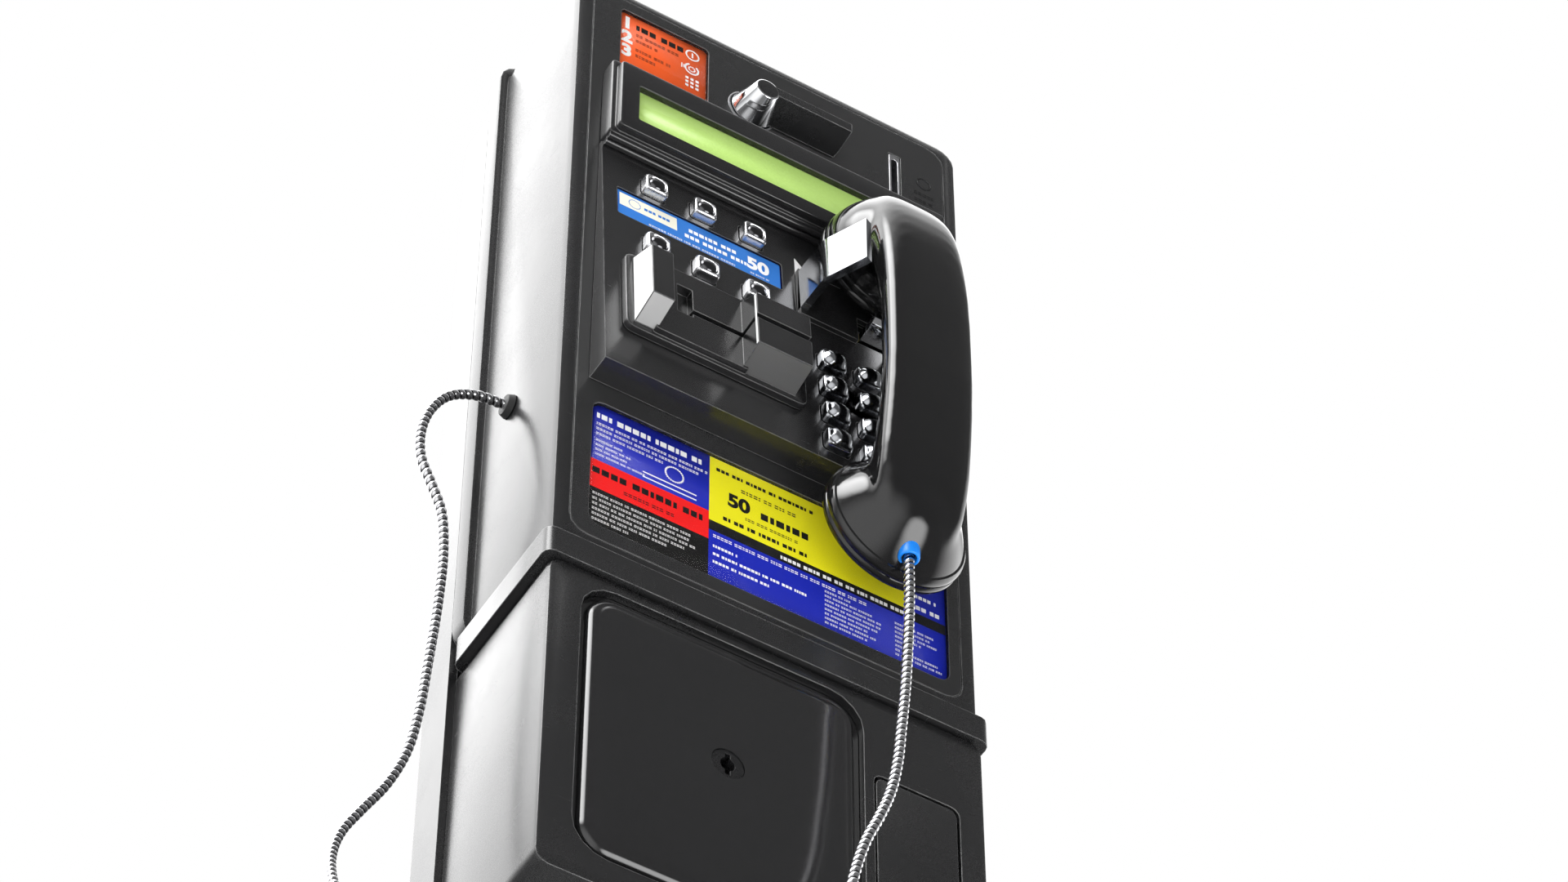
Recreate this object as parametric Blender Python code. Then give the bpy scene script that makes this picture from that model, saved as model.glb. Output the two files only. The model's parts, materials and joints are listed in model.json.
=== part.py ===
"""Wall-mounted coin payphone with a card reader, a keypad and a corded handset.

The origin is on the wall, at the middle of the wall plate's back face. +X is to the right of
someone who faces the phone, +Y goes into the wall and +Z is up. Inside this script a place is
given as (across, depth, height) in millimetres: across from the middle of the phone, depth
back from the face of the upper housing, and height up from the foot of that face.
"""

import math

import bmesh
import bpy
from mathutils import Matrix, Vector

MM = 0.001
GAP = 0.3  # clearance between pieces that touch

# Driving dimensions.
WIDTH = 190.0  # upper housing
TOP = 355.5
BOTTOM = -174.0
WALL_DEPTH = 90.0  # from the face of the upper housing to the wall
SEAM_DEPTH = 70.0  # where the housings meet the rear housing
WALL = 3.2  # sheet thickness of the housings
LEDGE_HEIGHT = 13.0  # the lip between the upper and the lower housing
LEDGE_TOP = -3.0
LEDGE_BOTTOM = LEDGE_TOP - LEDGE_HEIGHT
WALL_PLATE_FOOT, WALL_PLATE_HEAD = -170.0, 335.0
MIDDLE_HEIGHT = (WALL_PLATE_FOOT + WALL_PLATE_HEAD) / 2

CONSOLE_FOOT, CONSOLE_HEAD = 93.5, 242.0
CONSOLE_HALF_WIDTH = 82.0
CONSOLE_DEPTH_AT_FOOT, CONSOLE_DEPTH_AT_HEAD = -12.8, -2.0
CONSOLE_SLOPE = (CONSOLE_DEPTH_AT_HEAD - CONSOLE_DEPTH_AT_FOOT) / (CONSOLE_HEAD - CONSOLE_FOOT)
CONSOLE_TILT = math.atan(CONSOLE_SLOPE)

KEY_COLUMNS = (23.4, 40.6, 57.8)
KEY_ROWS = (157.4, 140.0, 122.7, 105.3)
KEY_SIZE = (12.0, 10.5)
KEY_PROUD = 6.0
BUTTON_COLUMNS = (-58.3, -35.2, -11.5)
BUTTON_ROWS = (222.5, 181.5)
BUTTON_SIZE = (11.0, 10.5)
BUTTON_PROUD = 4.8
RATE_HEIGHT = 205.5  # middles of the rate card and of the card reader, on the console
READER_HEIGHT = 141.5

HANDSET_ACROSS = 46.0
EAR_HEIGHT, MOUTH_HEIGHT = 224.0, 64.0
CUP_RADIUS = 31.4
CUP_BACK, CUP_LIP = -13.5, -18.5  # depth of the caps' faces and of the shell's rims
HANDLE_WIDTH = 38.0

CRADLE_LEFT, CRADLE_RIGHT = 9.4, 81.9
CRADLE_FOOT, CRADLE_HEAD = 186.0, 211.0
PRONG_THICKNESS = 3.5
HOOK_PIVOT = (HANDSET_ACROSS, 8.0, 188.0)
LEVER_PIVOT = (-9.7, 0.0, 314.0)
LEVER_FRONT, LEVER_BACK = -14.2, -0.6

CORD_DIAMETER = 4.5
CORD_EXIT = (-WIDTH / 2, 40.0, 107.8)
FERRULE_RADIUS = 4.4
FERRULE_FOOT = 37.7

VAULT_LEFT, VAULT_RIGHT, VAULT_FOOT, VAULT_HEAD = -81.3, 41.3, -160.5, -22.5
RETURN_LEFT, RETURN_RIGHT, RETURN_FOOT, RETURN_HEAD = 45.6, 83.6, -127.0, -57.6


def at(across, depth, height):
    """The place in the part's own frame, in metres."""
    return Vector((across, depth - WALL_DEPTH, height - MIDDLE_HEIGHT)) * MM


def console_depth(height):
    """Depth of the console's sloping face at that height."""
    return CONSOLE_DEPTH_AT_FOOT + CONSOLE_SLOPE * (height - CONSOLE_FOOT)


def console_matrix(height, sunk=0.0):
    """From round depth 0 and height 0 to that height on the console, sunk into its face."""
    lie = Matrix.Rotation(-CONSOLE_TILT, 4, "X")
    inward = lie @ Vector((0, 1, 0))
    shift = Matrix.Translation(at(0, console_depth(height), height) + inward * sunk * MM)
    return shift @ lie @ Matrix.Translation(-at(0, 0, 0))


def start_scene():
    """Clears the scene and makes the collections for the parts and for the cutters."""
    for old in list(bpy.data.objects):
        bpy.data.objects.remove(old)
    found = {}
    for name in ("payphone", "cutters"):
        found[name] = bpy.data.collections.new(name)
        bpy.context.scene.collection.children.link(found[name])
    found["cutters"].hide_render = True
    return found


COLLECTIONS = start_scene()


# ---------------------------------------------------------------- materials


def make_material(name, color, roughness, metallic=0.0, alpha=1.0):
    made = bpy.data.materials.new(name)
    made.use_nodes = True
    shader = made.node_tree.nodes["Principled BSDF"]
    shader.inputs["Base Color"].default_value = (*color, 1.0)
    shader.inputs["Roughness"].default_value = roughness
    shader.inputs["Metallic"].default_value = metallic
    shader.inputs["Alpha"].default_value = alpha
    made.diffuse_color = (*color, alpha)
    return made


MATERIALS = {
    "black_paint": make_material("black_paint", (0.035, 0.035, 0.037), 0.38),
    "panel_paint": make_material("panel_paint", (0.045, 0.045, 0.047), 0.45),
    "console_plastic": make_material("console_plastic", (0.02, 0.02, 0.022), 0.3),
    "gloss_black": make_material("gloss_black", (0.012, 0.012, 0.013), 0.12),
    "chrome": make_material("chrome", (0.8, 0.8, 0.82), 0.08, 1.0),
    "dark_chrome": make_material("dark_chrome", (0.25, 0.26, 0.28), 0.1, 1.0),
    "steel": make_material("steel", (0.55, 0.55, 0.57), 0.35, 1.0),
    "clear": make_material("clear", (0.9, 0.9, 0.9), 0.05, 0.0, 0.25),
    "display_green": make_material("display_green", (0.45, 0.75, 0.2), 0.3),
    "card_orange": make_material("card_orange", (0.9, 0.18, 0.03), 0.45),
    "card_blue": make_material("card_blue", (0.02, 0.05, 0.45), 0.4),
    "blue_plastic": make_material("blue_plastic", (0.01, 0.2, 0.75), 0.3),
    "board_green": make_material("board_green", (0.02, 0.16, 0.06), 0.5),
    "grey_plastic": make_material("grey_plastic", (0.25, 0.25, 0.26), 0.5),
    "rubber": make_material("rubber", (0.02, 0.02, 0.02), 0.7),
}


# ---------------------------------------------------------------- shapes


def add_object(name, bm, material=None):
    """Makes an object of the bmesh: a part with its material, or a cutter without one."""
    bmesh.ops.recalc_face_normals(bm, faces=bm.faces)
    mesh = bpy.data.meshes.new(name)
    bm.to_mesh(mesh)
    bm.free()
    obj = bpy.data.objects.new(name, mesh)
    if material is None:
        obj.hide_render = True
        obj.display_type = "WIRE"
        COLLECTIONS["cutters"].objects.link(obj)
    else:
        mesh.materials.append(MATERIALS[material])
        COLLECTIONS["payphone"].objects.link(obj)
    return obj


def edges_along(bm, axis):
    """The box's edges that run along that axis: 0, 1 or 2."""
    others = [k for k in range(3) if k != axis]
    return [
        e for e in bm.edges
        if all(abs(e.verts[0].co[k] - e.verts[1].co[k]) < 1e-6 for k in others)
    ]


def box_mesh(across, depth, height, corner=0.0, edge=0.0, axis=1, steps=3):
    """A box between those pairs of places. Its corners are rounded round one axis, and then
    the rim nearest the front is rounded too."""
    low, high = at(across[0], depth[0], height[0]), at(across[1], depth[1], height[1])
    bm = bmesh.new()
    bmesh.ops.create_cube(bm, size=1.0)
    for v in bm.verts:
        v.co = Vector(
            low[k] + (v.co[k] + 0.5) * (high[k] - low[k]) for k in range(3)
        )
    if corner:
        bmesh.ops.bevel(
            bm, geom=edges_along(bm, axis), offset=corner * MM, segments=steps,
            profile=0.5, affect="EDGES",
        )
    if edge:
        front = low[axis]
        rim = [
            e for e in bm.edges
            if all(abs(v.co[axis] - front) < 1e-6 for v in e.verts)
        ]
        bmesh.ops.bevel(
            bm, geom=rim, offset=edge * MM, segments=2, profile=0.5, affect="EDGES"
        )
    return bm


def add_box(name, material, across, depth, height, **rounding):
    return add_object(name, box_mesh(across, depth, height, **rounding), material)


def cylinder_mesh(place, axis, start, end, radius, end_radius=None, sides=24):
    """A cylinder or cone round an axis through place, between two distances along it."""
    bm = bmesh.new()
    bmesh.ops.create_cone(
        bm, cap_ends=True, segments=sides, radius1=radius * MM,
        radius2=(radius if end_radius is None else end_radius) * MM,
        depth=(end - start) * MM,
    )
    turn = Vector((0, 0, 1)).rotation_difference(Vector(axis)).to_matrix().to_4x4()
    shift = Matrix.Translation(at(*place) + Vector(axis) * (start + end) / 2 * MM)
    bmesh.ops.transform(bm, matrix=shift @ turn, verts=bm.verts)
    return bm


def add_cylinder(name, material, *shape, **details):
    return add_object(name, cylinder_mesh(*shape, **details), material)


def turned_mesh(place, profile, sides=40):
    """A solid turned round the depth direction, from (depth, radius) pairs front to back."""
    bm = bmesh.new()
    rings = []
    for depth, radius in profile:
        ring = bmesh.ops.create_circle(bm, segments=sides, radius=radius * MM)["verts"]
        lie = Matrix.Rotation(math.radians(90), 4, "X")
        move = Matrix.Translation(at(place[0], depth, place[2]))
        bmesh.ops.transform(bm, matrix=move @ lie, verts=ring)
        rings.append(ring)
    for near, far in zip(rings, rings[1:]):
        for k in range(sides):
            after = (k + 1) % sides
            bm.faces.new((near[k], near[after], far[after], far[k]))
    bm.faces.new(rings[0])
    bm.faces.new(rings[-1])
    return bm


def prism_mesh(outline, across):
    """A closed outline of (depth, height) points, carried sideways between two places."""
    bm = bmesh.new()
    ring = [bm.verts.new(at(across[0], *point)) for point in outline]
    face = bm.faces.new(ring)
    grown = bmesh.ops.extrude_face_region(bm, geom=[face])
    moved = [g for g in grown["geom"] if isinstance(g, bmesh.types.BMVert)]
    bmesh.ops.translate(bm, verts=moved, vec=Vector(((across[1] - across[0]) * MM, 0, 0)))
    return bm


def combine(target, operation, *others):
    """Cuts, joins or keeps the target's overlap with each of the other objects."""
    for other in others:
        modifier = target.modifiers.new(f"{operation}_{other.name}", "BOOLEAN")
        modifier.operation = operation
        modifier.solver = "EXACT"
        modifier.object = other


def cut(target, *meshes):
    for index, bm in enumerate(meshes):
        combine(target, "DIFFERENCE", add_object(f"{target.name}_cut_{index}", bm))


def join(target, *meshes):
    for index, bm in enumerate(meshes):
        combine(target, "UNION", add_object(f"{target.name}_join_{index}", bm))


def put_origin(obj, place):
    """Moves the object's origin to the joint's axis, and leaves its mesh where it is."""
    obj.data.transform(Matrix.Translation(-place))
    obj.location = place


def shade_round(obj):
    obj.data.shade_smooth()
    obj.data.set_sharp_from_angle(angle=math.radians(35))


# ---------------------------------------------------------------- housings


def build_wall_plate():
    plate = add_box(
        "wall_plate", "steel", (-94.5, 94.5), (WALL_DEPTH - 3, WALL_DEPTH),
        (WALL_PLATE_FOOT, WALL_PLATE_HEAD), corner=10,
    )
    through = (WALL_DEPTH - 5, WALL_DEPTH + 2)
    slots = [
        box_mesh((x - 3.5, x + 3.5), through, (h - 8, h + 8), corner=3)
        for x in (-60, 60) for h in (-120, 290)
    ]
    cut(plate, *slots, box_mesh((-20, 20), through, (215, 245), corner=4))


def build_rear_housing():
    depth = (SEAM_DEPTH + GAP, WALL_DEPTH)
    ring = add_box(
        "rear_housing", "black_paint", (-98.7, 98.7), depth, (BOTTOM, 339), corner=14, steps=4,
    )
    cut(ring, box_mesh(
        (-94.9, 94.9), (SEAM_DEPTH - 5, WALL_DEPTH + 5),
        (WALL_PLATE_FOOT - 0.4, WALL_PLATE_HEAD + 0.4), corner=10.3,
    ))


def build_upper_housing():
    half = WIDTH / 2
    shell = add_box(
        "upper_housing", "black_paint", (-half, half), (0, SEAM_DEPTH),
        (LEDGE_TOP - 4, TOP), corner=9.5, edge=3.5, steps=4,
    )
    flange = box_mesh(
        (-half - 3.7, half + 3.7), (SEAM_DEPTH - 8.5, SEAM_DEPTH),
        (LEDGE_TOP - 5, TOP + 3.7), corner=12, edge=1.0, steps=4,
    )
    ledge = box_mesh(
        (-half - 3, half + 3), (-3, SEAM_DEPTH - 0.2), (LEDGE_BOTTOM, LEDGE_TOP),
        corner=4, axis=2,
    )
    join(shell, flange, ledge)
    cut(
        shell,
        box_mesh(
            (-half + WALL, half - WALL), (WALL + 0.8, SEAM_DEPTH - WALL),
            (LEDGE_BOTTOM + WALL, TOP - WALL), corner=6,
        ),
        box_mesh(
            (-half + WALL, half - WALL), (SEAM_DEPTH / 2, SEAM_DEPTH + 5),
            (LEDGE_BOTTOM + WALL + 0.4, WALL_PLATE_HEAD - WALL), corner=5,
        ),
        box_mesh((-87.7, 87.7), (-5, WALL + 5), (4, 349), corner=8),
        box_mesh((-80, 80), (12, 60), (LEDGE_BOTTOM - 5, LEDGE_BOTTOM + 8)),
        cylinder_mesh(CORD_EXIT, (1, 0, 0), -8, 8, 3.6, sides=16),
    )


def build_lower_housing():
    half = 95.5
    shell = add_box(
        "lower_housing", "black_paint", (-half, half), (-1, SEAM_DEPTH),
        (BOTTOM, LEDGE_BOTTOM - GAP), corner=6, edge=2.2, steps=3,
    )
    cut(
        shell,
        box_mesh(
            (-half + WALL, half - WALL), (WALL + 0.4, SEAM_DEPTH + 5),
            (BOTTOM + WALL, LEDGE_BOTTOM + 5), corner=4,
        ),
        box_mesh((VAULT_LEFT, VAULT_RIGHT), (-5, 8), (VAULT_FOOT, VAULT_HEAD), corner=15, steps=4),
        box_mesh((RETURN_LEFT, RETURN_RIGHT), (-5, 8), (RETURN_FOOT, RETURN_HEAD), corner=4),
    )


def build_face_panel():
    """The flush panel with the windows, and the openings behind the bezel and the console."""
    panel = add_box(
        "face_panel", "panel_paint", (-87.4, 87.4), (0, 3), (4.3, 348.7), corner=7.7,
    )
    through = (-3, 6)
    cut(
        panel,
        box_mesh((-74, -31), through, (300, 342.5), corner=2),
        box_mesh((-79.5, 82), through, (12, 82.5), corner=5),
        box_mesh((-72, 72), through, (250, 278)),
        box_mesh((-77, 77), through, (99, 236)),
        box_mesh((59.7, 65.8), through, (298.7, 332.8)),
        cylinder_mesh(LEVER_PIVOT, (0, 1, 0), -10, 10, 4.4),
    )


# ---------------------------------------------------------------- cards, windows and display


def build_cards():
    add_box("instruction_card", "card_orange", (-73.7, -31.3), (1.4, 2.0), (300.3, 342.2), corner=1.8)
    add_box("instruction_window", "clear", (-73.7, -31.3), (0.3, 1.0), (300.3, 342.2), corner=1.8)
    add_box("info_card", "card_blue", (-79.2, 81.7), (1.4, 2.0), (12.3, 82.2), corner=4.7)
    add_box("info_window", "clear", (-79.2, 81.7), (0.3, 1.0), (12.3, 82.2), corner=4.7)
    card = add_box("rate_card", "card_blue", (-74.7, 2.7), (-0.4, 0.4), (-8.8, 8.8), corner=0.8)
    card.data.transform(console_matrix(RATE_HEIGHT, sunk=1.2))


def build_display():
    bezel = add_box(
        "display_bezel", "console_plastic", (-82, 82), (-8.6, -GAP), (242.6, 291.6),
        corner=2, edge=0.8,
    )
    join(bezel, box_mesh((-79.5, 79.5), (-12.5, -6), (244.6, 288), corner=2, edge=0.8))
    cut(
        bezel,
        box_mesh((-70.5, 70.5), (-15, -5), (253, 275.5), corner=1),
        box_mesh((-75, 75), (-9.3, 2), (248.5, 280)),
    )
    add_box("display_lens", "clear", (-70.2, 70.2), (-11.4, -9.7), (253.3, 275.2), corner=0.8)
    add_box("display_module", "display_green", (-71.7, 71.7), (-9.0, 6), (250.3, 277.7))


# ---------------------------------------------------------------- console


def console_outline(inset, foot, head, back):
    return [
        (back, foot), (console_depth(foot) + inset, foot),
        (console_depth(head) + inset, head), (back, head),
    ]


def build_console():
    console = add_object(
        "console",
        prism_mesh(console_outline(0, CONSOLE_FOOT, CONSOLE_HEAD, -GAP),
                   (-CONSOLE_HALF_WIDTH, CONSOLE_HALF_WIDTH)),
        "console_plastic",
    )
    hollow = prism_mesh(console_outline(2.5, CONSOLE_FOOT + 3, 225, 3), (-78.5, 78.5))
    holes = [
        keyhole_mesh(x, h, KEY_SIZE) for x in KEY_COLUMNS for h in KEY_ROWS
    ] + [
        keyhole_mesh(x, h, BUTTON_SIZE) for x in BUTTON_COLUMNS for h in BUTTON_ROWS
    ]
    rate_recess = box_mesh((-75, 3), (-4, 1.6), (-9.1, 9.1), corner=1)
    lever_slot = box_mesh((37, 55), (-15, 5), (184, 196))
    cut(console, hollow, *holes, on_console(rate_recess, RATE_HEIGHT), lever_slot)


def on_console(bm, height):
    """Tilts a mesh that was made round depth 0 and height 0 on to the console's face."""
    bmesh.ops.transform(bm, matrix=console_matrix(height), verts=bm.verts)
    return bm


def keyhole_mesh(across, height, size):
    half_width, half_height = size[0] / 2 + 0.4, size[1] / 2 + 0.4
    hole = box_mesh(
        (across - half_width, across + half_width), (-5, 12), (-half_height, half_height), corner=1.6,
        steps=2,
    )
    return on_console(hole, height)


def build_key(name, material, across, height, size, proud, dished):
    """A square cap that stands out of its hole and slides in along the face's normal."""
    half_width, half_height = size[0] / 2, size[1] / 2
    bm = box_mesh(
        (across - half_width, across + half_width), (-proud, 3.5), (-half_height, half_height),
        corner=1.4, edge=1.6, steps=2,
    )
    key = add_object(name, on_console(bm, height), material)
    if dished:
        dish = cylinder_mesh((across, -proud, 0), (0, 1, 0), -2, 0.7, 3.6, 3.0, sides=16)
        cut(key, on_console(dish, height))
    place = at(across, console_depth(height), height)
    put_origin(key, place)
    for cutter in key.modifiers:
        put_origin(cutter.object, place)
    shade_round(key)


def build_keys():
    for row, height in enumerate(KEY_ROWS):
        for column, across in enumerate(KEY_COLUMNS):
            build_key(
                f"key_{3 * row + column + 1:02d}", "dark_chrome", across, height,
                KEY_SIZE, KEY_PROUD, False,
            )
    for row, height in enumerate(BUTTON_ROWS):
        for column, across in enumerate(BUTTON_COLUMNS):
            build_key(
                f"quick_button_{3 * row + column + 1}", "chrome", across, height,
                BUTTON_SIZE, BUTTON_PROUD, True,
            )
    add_box("keypad_board", "board_green", (12, 70), (0.5, 2.1), (100, 168))
    add_box("button_board", "board_green", (-70, 0), (3.6, 5.2), (174, 230))


def reader_block(across, foot, head, proud):
    """A guide block whose top and bottom slope back to the reader's face."""
    outline = [(-1, foot - 3), (-proud, foot), (-proud, head), (-3, head + 9), (-1, head + 9)]
    return prism_mesh(outline, across)


def build_card_reader():
    base = box_mesh((-74, 9), (-3.5, -GAP), (-24.5, 24.5), corner=4, edge=0.8)
    middle = box_mesh((-62, -20), (-6.3, -1), (-22.5, 23.3), corner=0.8)
    left = reader_block((-70.4, -60.7), -18.5, 13.0, 18.2)
    right = reader_block((-22.2, 3.0), -18.8, 14.2, 18.0)
    bezel = add_object("card_reader_bezel", on_console(base, READER_HEIGHT), "console_plastic")
    join(bezel, *[on_console(bm, READER_HEIGHT) for bm in (middle, left, right)])
    slot = box_mesh((-50, 20), (-25, -1.8), (-2.5, 0.7))
    notch = box_mesh((-52, -45), (-9, -2.2), (-4.5, 13.5))
    pocket = box_mesh((-17.5, -2.5), (-4, 2), (-2.2, 0.4))
    cut(bezel, *[on_console(bm, READER_HEIGHT) for bm in (slot, notch, pocket)])
    head = box_mesh((-17, -3), (-2.4, -GAP), (-1.9, 0.1))
    add_object("card_reader_head", on_console(head, READER_HEIGHT), "steel")


# ---------------------------------------------------------------- cradle and hook


def build_cradle():
    """A base on the console with two prongs: the left one is long and its end curls inwards."""
    plate = box_mesh((CRADLE_LEFT, CRADLE_RIGHT), (-2.6, -GAP), (-15.5, 15.5), corner=2)
    middle = (CRADLE_FOOT + CRADLE_HEAD) / 2 - 1
    base = add_object("cradle", on_console(plate, middle), "dark_chrome")
    bend = [(-6.6, 0), (-30, 0), (-36, 1.2), (-41, 4.2), (-45.2, 8.9)]
    left = bmesh.new()
    outer = [left.verts.new(at(CRADLE_LEFT + x, d, CRADLE_FOOT)) for d, x in bend]
    inner = [
        left.verts.new(at(CRADLE_LEFT + PRONG_THICKNESS + x, d, CRADLE_FOOT))
        for d, x in reversed(bend)
    ]
    sheet = left.faces.new(outer + inner)
    grown = bmesh.ops.extrude_face_region(left, geom=[sheet])
    moved = [g for g in grown["geom"] if isinstance(g, bmesh.types.BMVert)]
    bmesh.ops.translate(left, verts=moved, vec=Vector((0, 0, (CRADLE_HEAD - CRADLE_FOOT) * MM)))
    right = box_mesh(
        (CRADLE_RIGHT - PRONG_THICKNESS, CRADLE_RIGHT), (-27, -6.6), (CRADLE_FOOT, CRADLE_HEAD),
        corner=2, axis=0,
    )
    join(base, left, right)
    cut(base, box_mesh((37, 55), (-15, 5), (181, 197)))


def build_hook():
    """The hook lever under the ear cup, turning on a pin inside the housing."""
    across = (HANDSET_ACROSS - 7, HANDSET_ACROSS + 7)
    outline = [
        (10.5, 190.5), (10.5, 185.5), (-14, 186.0), (-18.8, 188.0), (-18.8, 190.5), (-12, 190.3),
    ]
    lever = add_object("hook_lever", prism_mesh(outline, across), "chrome")
    cut(lever, cylinder_mesh(HOOK_PIVOT, (1, 0, 0), -12, 12, 1.8, sides=16))
    put_origin(lever, at(*HOOK_PIVOT))
    for cutter in lever.modifiers:
        put_origin(cutter.object, at(*HOOK_PIVOT))
    add_cylinder("hook_pin", "steel", HOOK_PIVOT, (1, 0, 0), -16, 16, 1.4, sides=16)


# ---------------------------------------------------------------- coin path


def build_coin_path():
    insert = add_box("coin_slot_insert", "steel", (60, 65.5), (0, 8), (299, 332.5), corner=1)
    cut(insert, box_mesh((61.2, 64.3), (-2, 10), (302, 329.5), corner=1.2, steps=2))
    body = add_box("coin_validator", "grey_plastic", (40, 82), (10, 56), (215, 336), corner=3)
    cut(body, box_mesh((61, 64.5), (5, 50), (300, 331)), box_mesh((52, 72), (20, 50), (210, 240)))
    chute = add_box("coin_chute", "steel", (50, 74), (18, 52), (-8, 212), corner=1)
    cut(chute, box_mesh((51.5, 72.5), (19.5, 50.5), (-20, 220)))
    hopper = add_box("escrow_hopper", "grey_plastic", (44, 84), (14, 56), (-52, -19), corner=2)
    cut(hopper, box_mesh((47, 81), (17, 53), (-60, -10)))
    add_box("main_board", "board_green", (-84, 28), (40, 41.6), (118, 332))


def build_coin_lever():
    """A round tapered hub with a bar to its right, which the user pushes down."""
    hub = add_cylinder(
        "coin_lever", "dark_chrome", LEVER_PIVOT, (0, 1, 0), LEVER_FRONT, LEVER_BACK, 5.8, 10.0,
    )
    bar = bmesh.new()
    bmesh.ops.create_cube(bar, size=1.0)
    for v in bar.verts:
        front = v.co.y < 0
        foot, head = (312.5, 318.0) if front else (308.8, 320.0)
        end = 32.3 if front else 31.1
        v.co = at(
            LEVER_PIVOT[0] if v.co.x < 0 else end,
            LEVER_FRONT if front else LEVER_BACK,
            head if v.co.z > 0 else foot,
        )
    join(hub, bar, cylinder_mesh(LEVER_PIVOT, (0, 1, 0), -4, 14, 4.0))
    put_origin(hub, at(*LEVER_PIVOT))
    for cutter in hub.modifiers:
        put_origin(cutter.object, at(*LEVER_PIVOT))


def build_vault():
    lock_place = (-18.1, 0.0, -87.0)
    door = add_box(
        "vault_door", "black_paint", (VAULT_LEFT + 3, VAULT_RIGHT - 3), (-1.6, 5),
        (VAULT_FOOT + 3, VAULT_HEAD - 3), corner=13, edge=1.6, steps=4,
    )
    join(door, box_mesh(
        (VAULT_LEFT + GAP, VAULT_RIGHT - GAP), (2.6, 6), (VAULT_FOOT + GAP, VAULT_HEAD - GAP),
        corner=14.7, steps=4,
    ))
    cut(door, cylinder_mesh(lock_place, (0, 1, 0), -5, 10, 7.4))
    lock = add_cylinder("vault_lock", "steel", lock_place, (0, 1, 0), -1.2, 24, 7.0)
    join(lock, box_mesh((-48, 12), (14, 18), (-91, -83), corner=1))
    cut(
        lock, cylinder_mesh(lock_place, (0, 1, 0), -5, 9, 3.2, sides=16),
        box_mesh((-19.2, -17.0), (-5, 7), (-92.2, -81.8)),
    )
    put_origin(lock, at(*lock_place))
    for cutter in lock.modifiers:
        put_origin(cutter.object, at(*lock_place))
    coin_box = add_box("coin_box", "steel", (-76, 36), (26, 67), (-156, -34), corner=2)
    cut(coin_box, box_mesh((-74, 34), (28, 65), (-154, -20), corner=2))


def build_coin_return():
    pivot = (64.6, 1.7, -61.0)
    bucket = add_box(
        "return_bucket", "steel", (RETURN_LEFT - 2, RETURN_RIGHT + 2), (3.9, 55),
        (RETURN_FOOT - 3, RETURN_HEAD - 0.4), corner=0.8,
    )
    cut(bucket, box_mesh(
        (RETURN_LEFT - 0.6, RETURN_RIGHT + 0.6), (-5, 53.5), (RETURN_FOOT - 1.2, RETURN_HEAD + 5),
    ))
    flap = add_box(
        "return_flap", "black_paint", (RETURN_LEFT + 1, RETURN_RIGHT - 1), (-0.8, 1.2),
        (RETURN_FOOT + 1, RETURN_HEAD - 1), corner=3.5, edge=0.6,
    )
    join(flap, box_mesh((50, 79.2), (0.6, 4.2), (-63.4, -58.8), corner=1, axis=0))
    cut(flap, cylinder_mesh(pivot, (1, 0, 0), -25, 25, 1.1, sides=12))
    put_origin(flap, at(*pivot))
    for cutter in flap.modifiers:
        put_origin(cutter.object, at(*pivot))
    add_cylinder("flap_pin", "steel", pivot, (1, 0, 0), -18.6, 18.6, 0.8, sides=12)


# ---------------------------------------------------------------- handset


# (depth, radius) down the outside of each cup, from the handle to its lip.
EAR_PROFILE = [(-44.5, 6), (-43.2, 12), (-38.5, 22), (-30, 28.5), (-22.5, 31), (CUP_LIP, CUP_RADIUS)]
MOUTH_PROFILE = [(-39, 7), (-20.5, 29.5), (-19.6, 31), (CUP_LIP, CUP_RADIUS)]
HOLLOW_DEPTH = -21.5


def build_handset():
    outer = [
        (-24, 244), (-34, 247), (-40, 243), (-44, 232), (-47, 215), (-50.5, 190), (-52, 156),
        (-51.5, 130), (-49, 100), (-45, 75), (-41, 63),
    ]
    inner = [
        (-32, 54), (-24, 66), (-30, 84), (-35.5, 104), (-38, 130), (-38, 156), (-35.5, 178),
        (-29, 198), (-24, 212),
    ]
    half = HANDLE_WIDTH / 2
    handle = prism_mesh(outer + inner, (HANDSET_ACROSS - half, HANDSET_ACROSS + half))
    side_edges = [
        e for e in handle.edges if abs(e.verts[0].co.x - e.verts[1].co.x) < 1e-7
    ]
    bmesh.ops.bevel(
        handle, geom=side_edges, offset=4 * MM, segments=2, profile=0.5, affect="EDGES"
    )
    shell = add_object("handset_shell", handle, "gloss_black")
    join(
        shell,
        turned_mesh((HANDSET_ACROSS, 0, EAR_HEIGHT), EAR_PROFILE),
        turned_mesh((HANDSET_ACROSS, 0, MOUTH_HEIGHT), MOUTH_PROFILE),
    )
    hollows = [
        cylinder_mesh((HANDSET_ACROSS, 0, h), (0, 1, 0), HOLLOW_DEPTH, -15.0, 24.0, sides=32)
        for h in (EAR_HEIGHT, MOUTH_HEIGHT)
    ]
    cut(shell, *hollows)
    for name, height in (("earpiece_cap", EAR_HEIGHT), ("mouthpiece_cap", MOUTH_HEIGHT)):
        place = (HANDSET_ACROSS, 0, height)
        cap = add_cylinder(
            name, "gloss_black", place, (0, 1, 0), CUP_LIP + GAP, CUP_BACK,
            CUP_RADIUS - 0.2, CUP_RADIUS - 1.2, sides=40,
        )
        cut(cap, cylinder_mesh(place, (0, 1, 0), -19, -15.6, 22.0, sides=32))
    for name, height in (("receiver_capsule", EAR_HEIGHT), ("transmitter_capsule", MOUTH_HEIGHT)):
        add_cylinder(
            name, "steel", (HANDSET_ACROSS, 0, height), (0, 1, 0), HOLLOW_DEPTH + GAP, -16.0, 21.0,
        )


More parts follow.
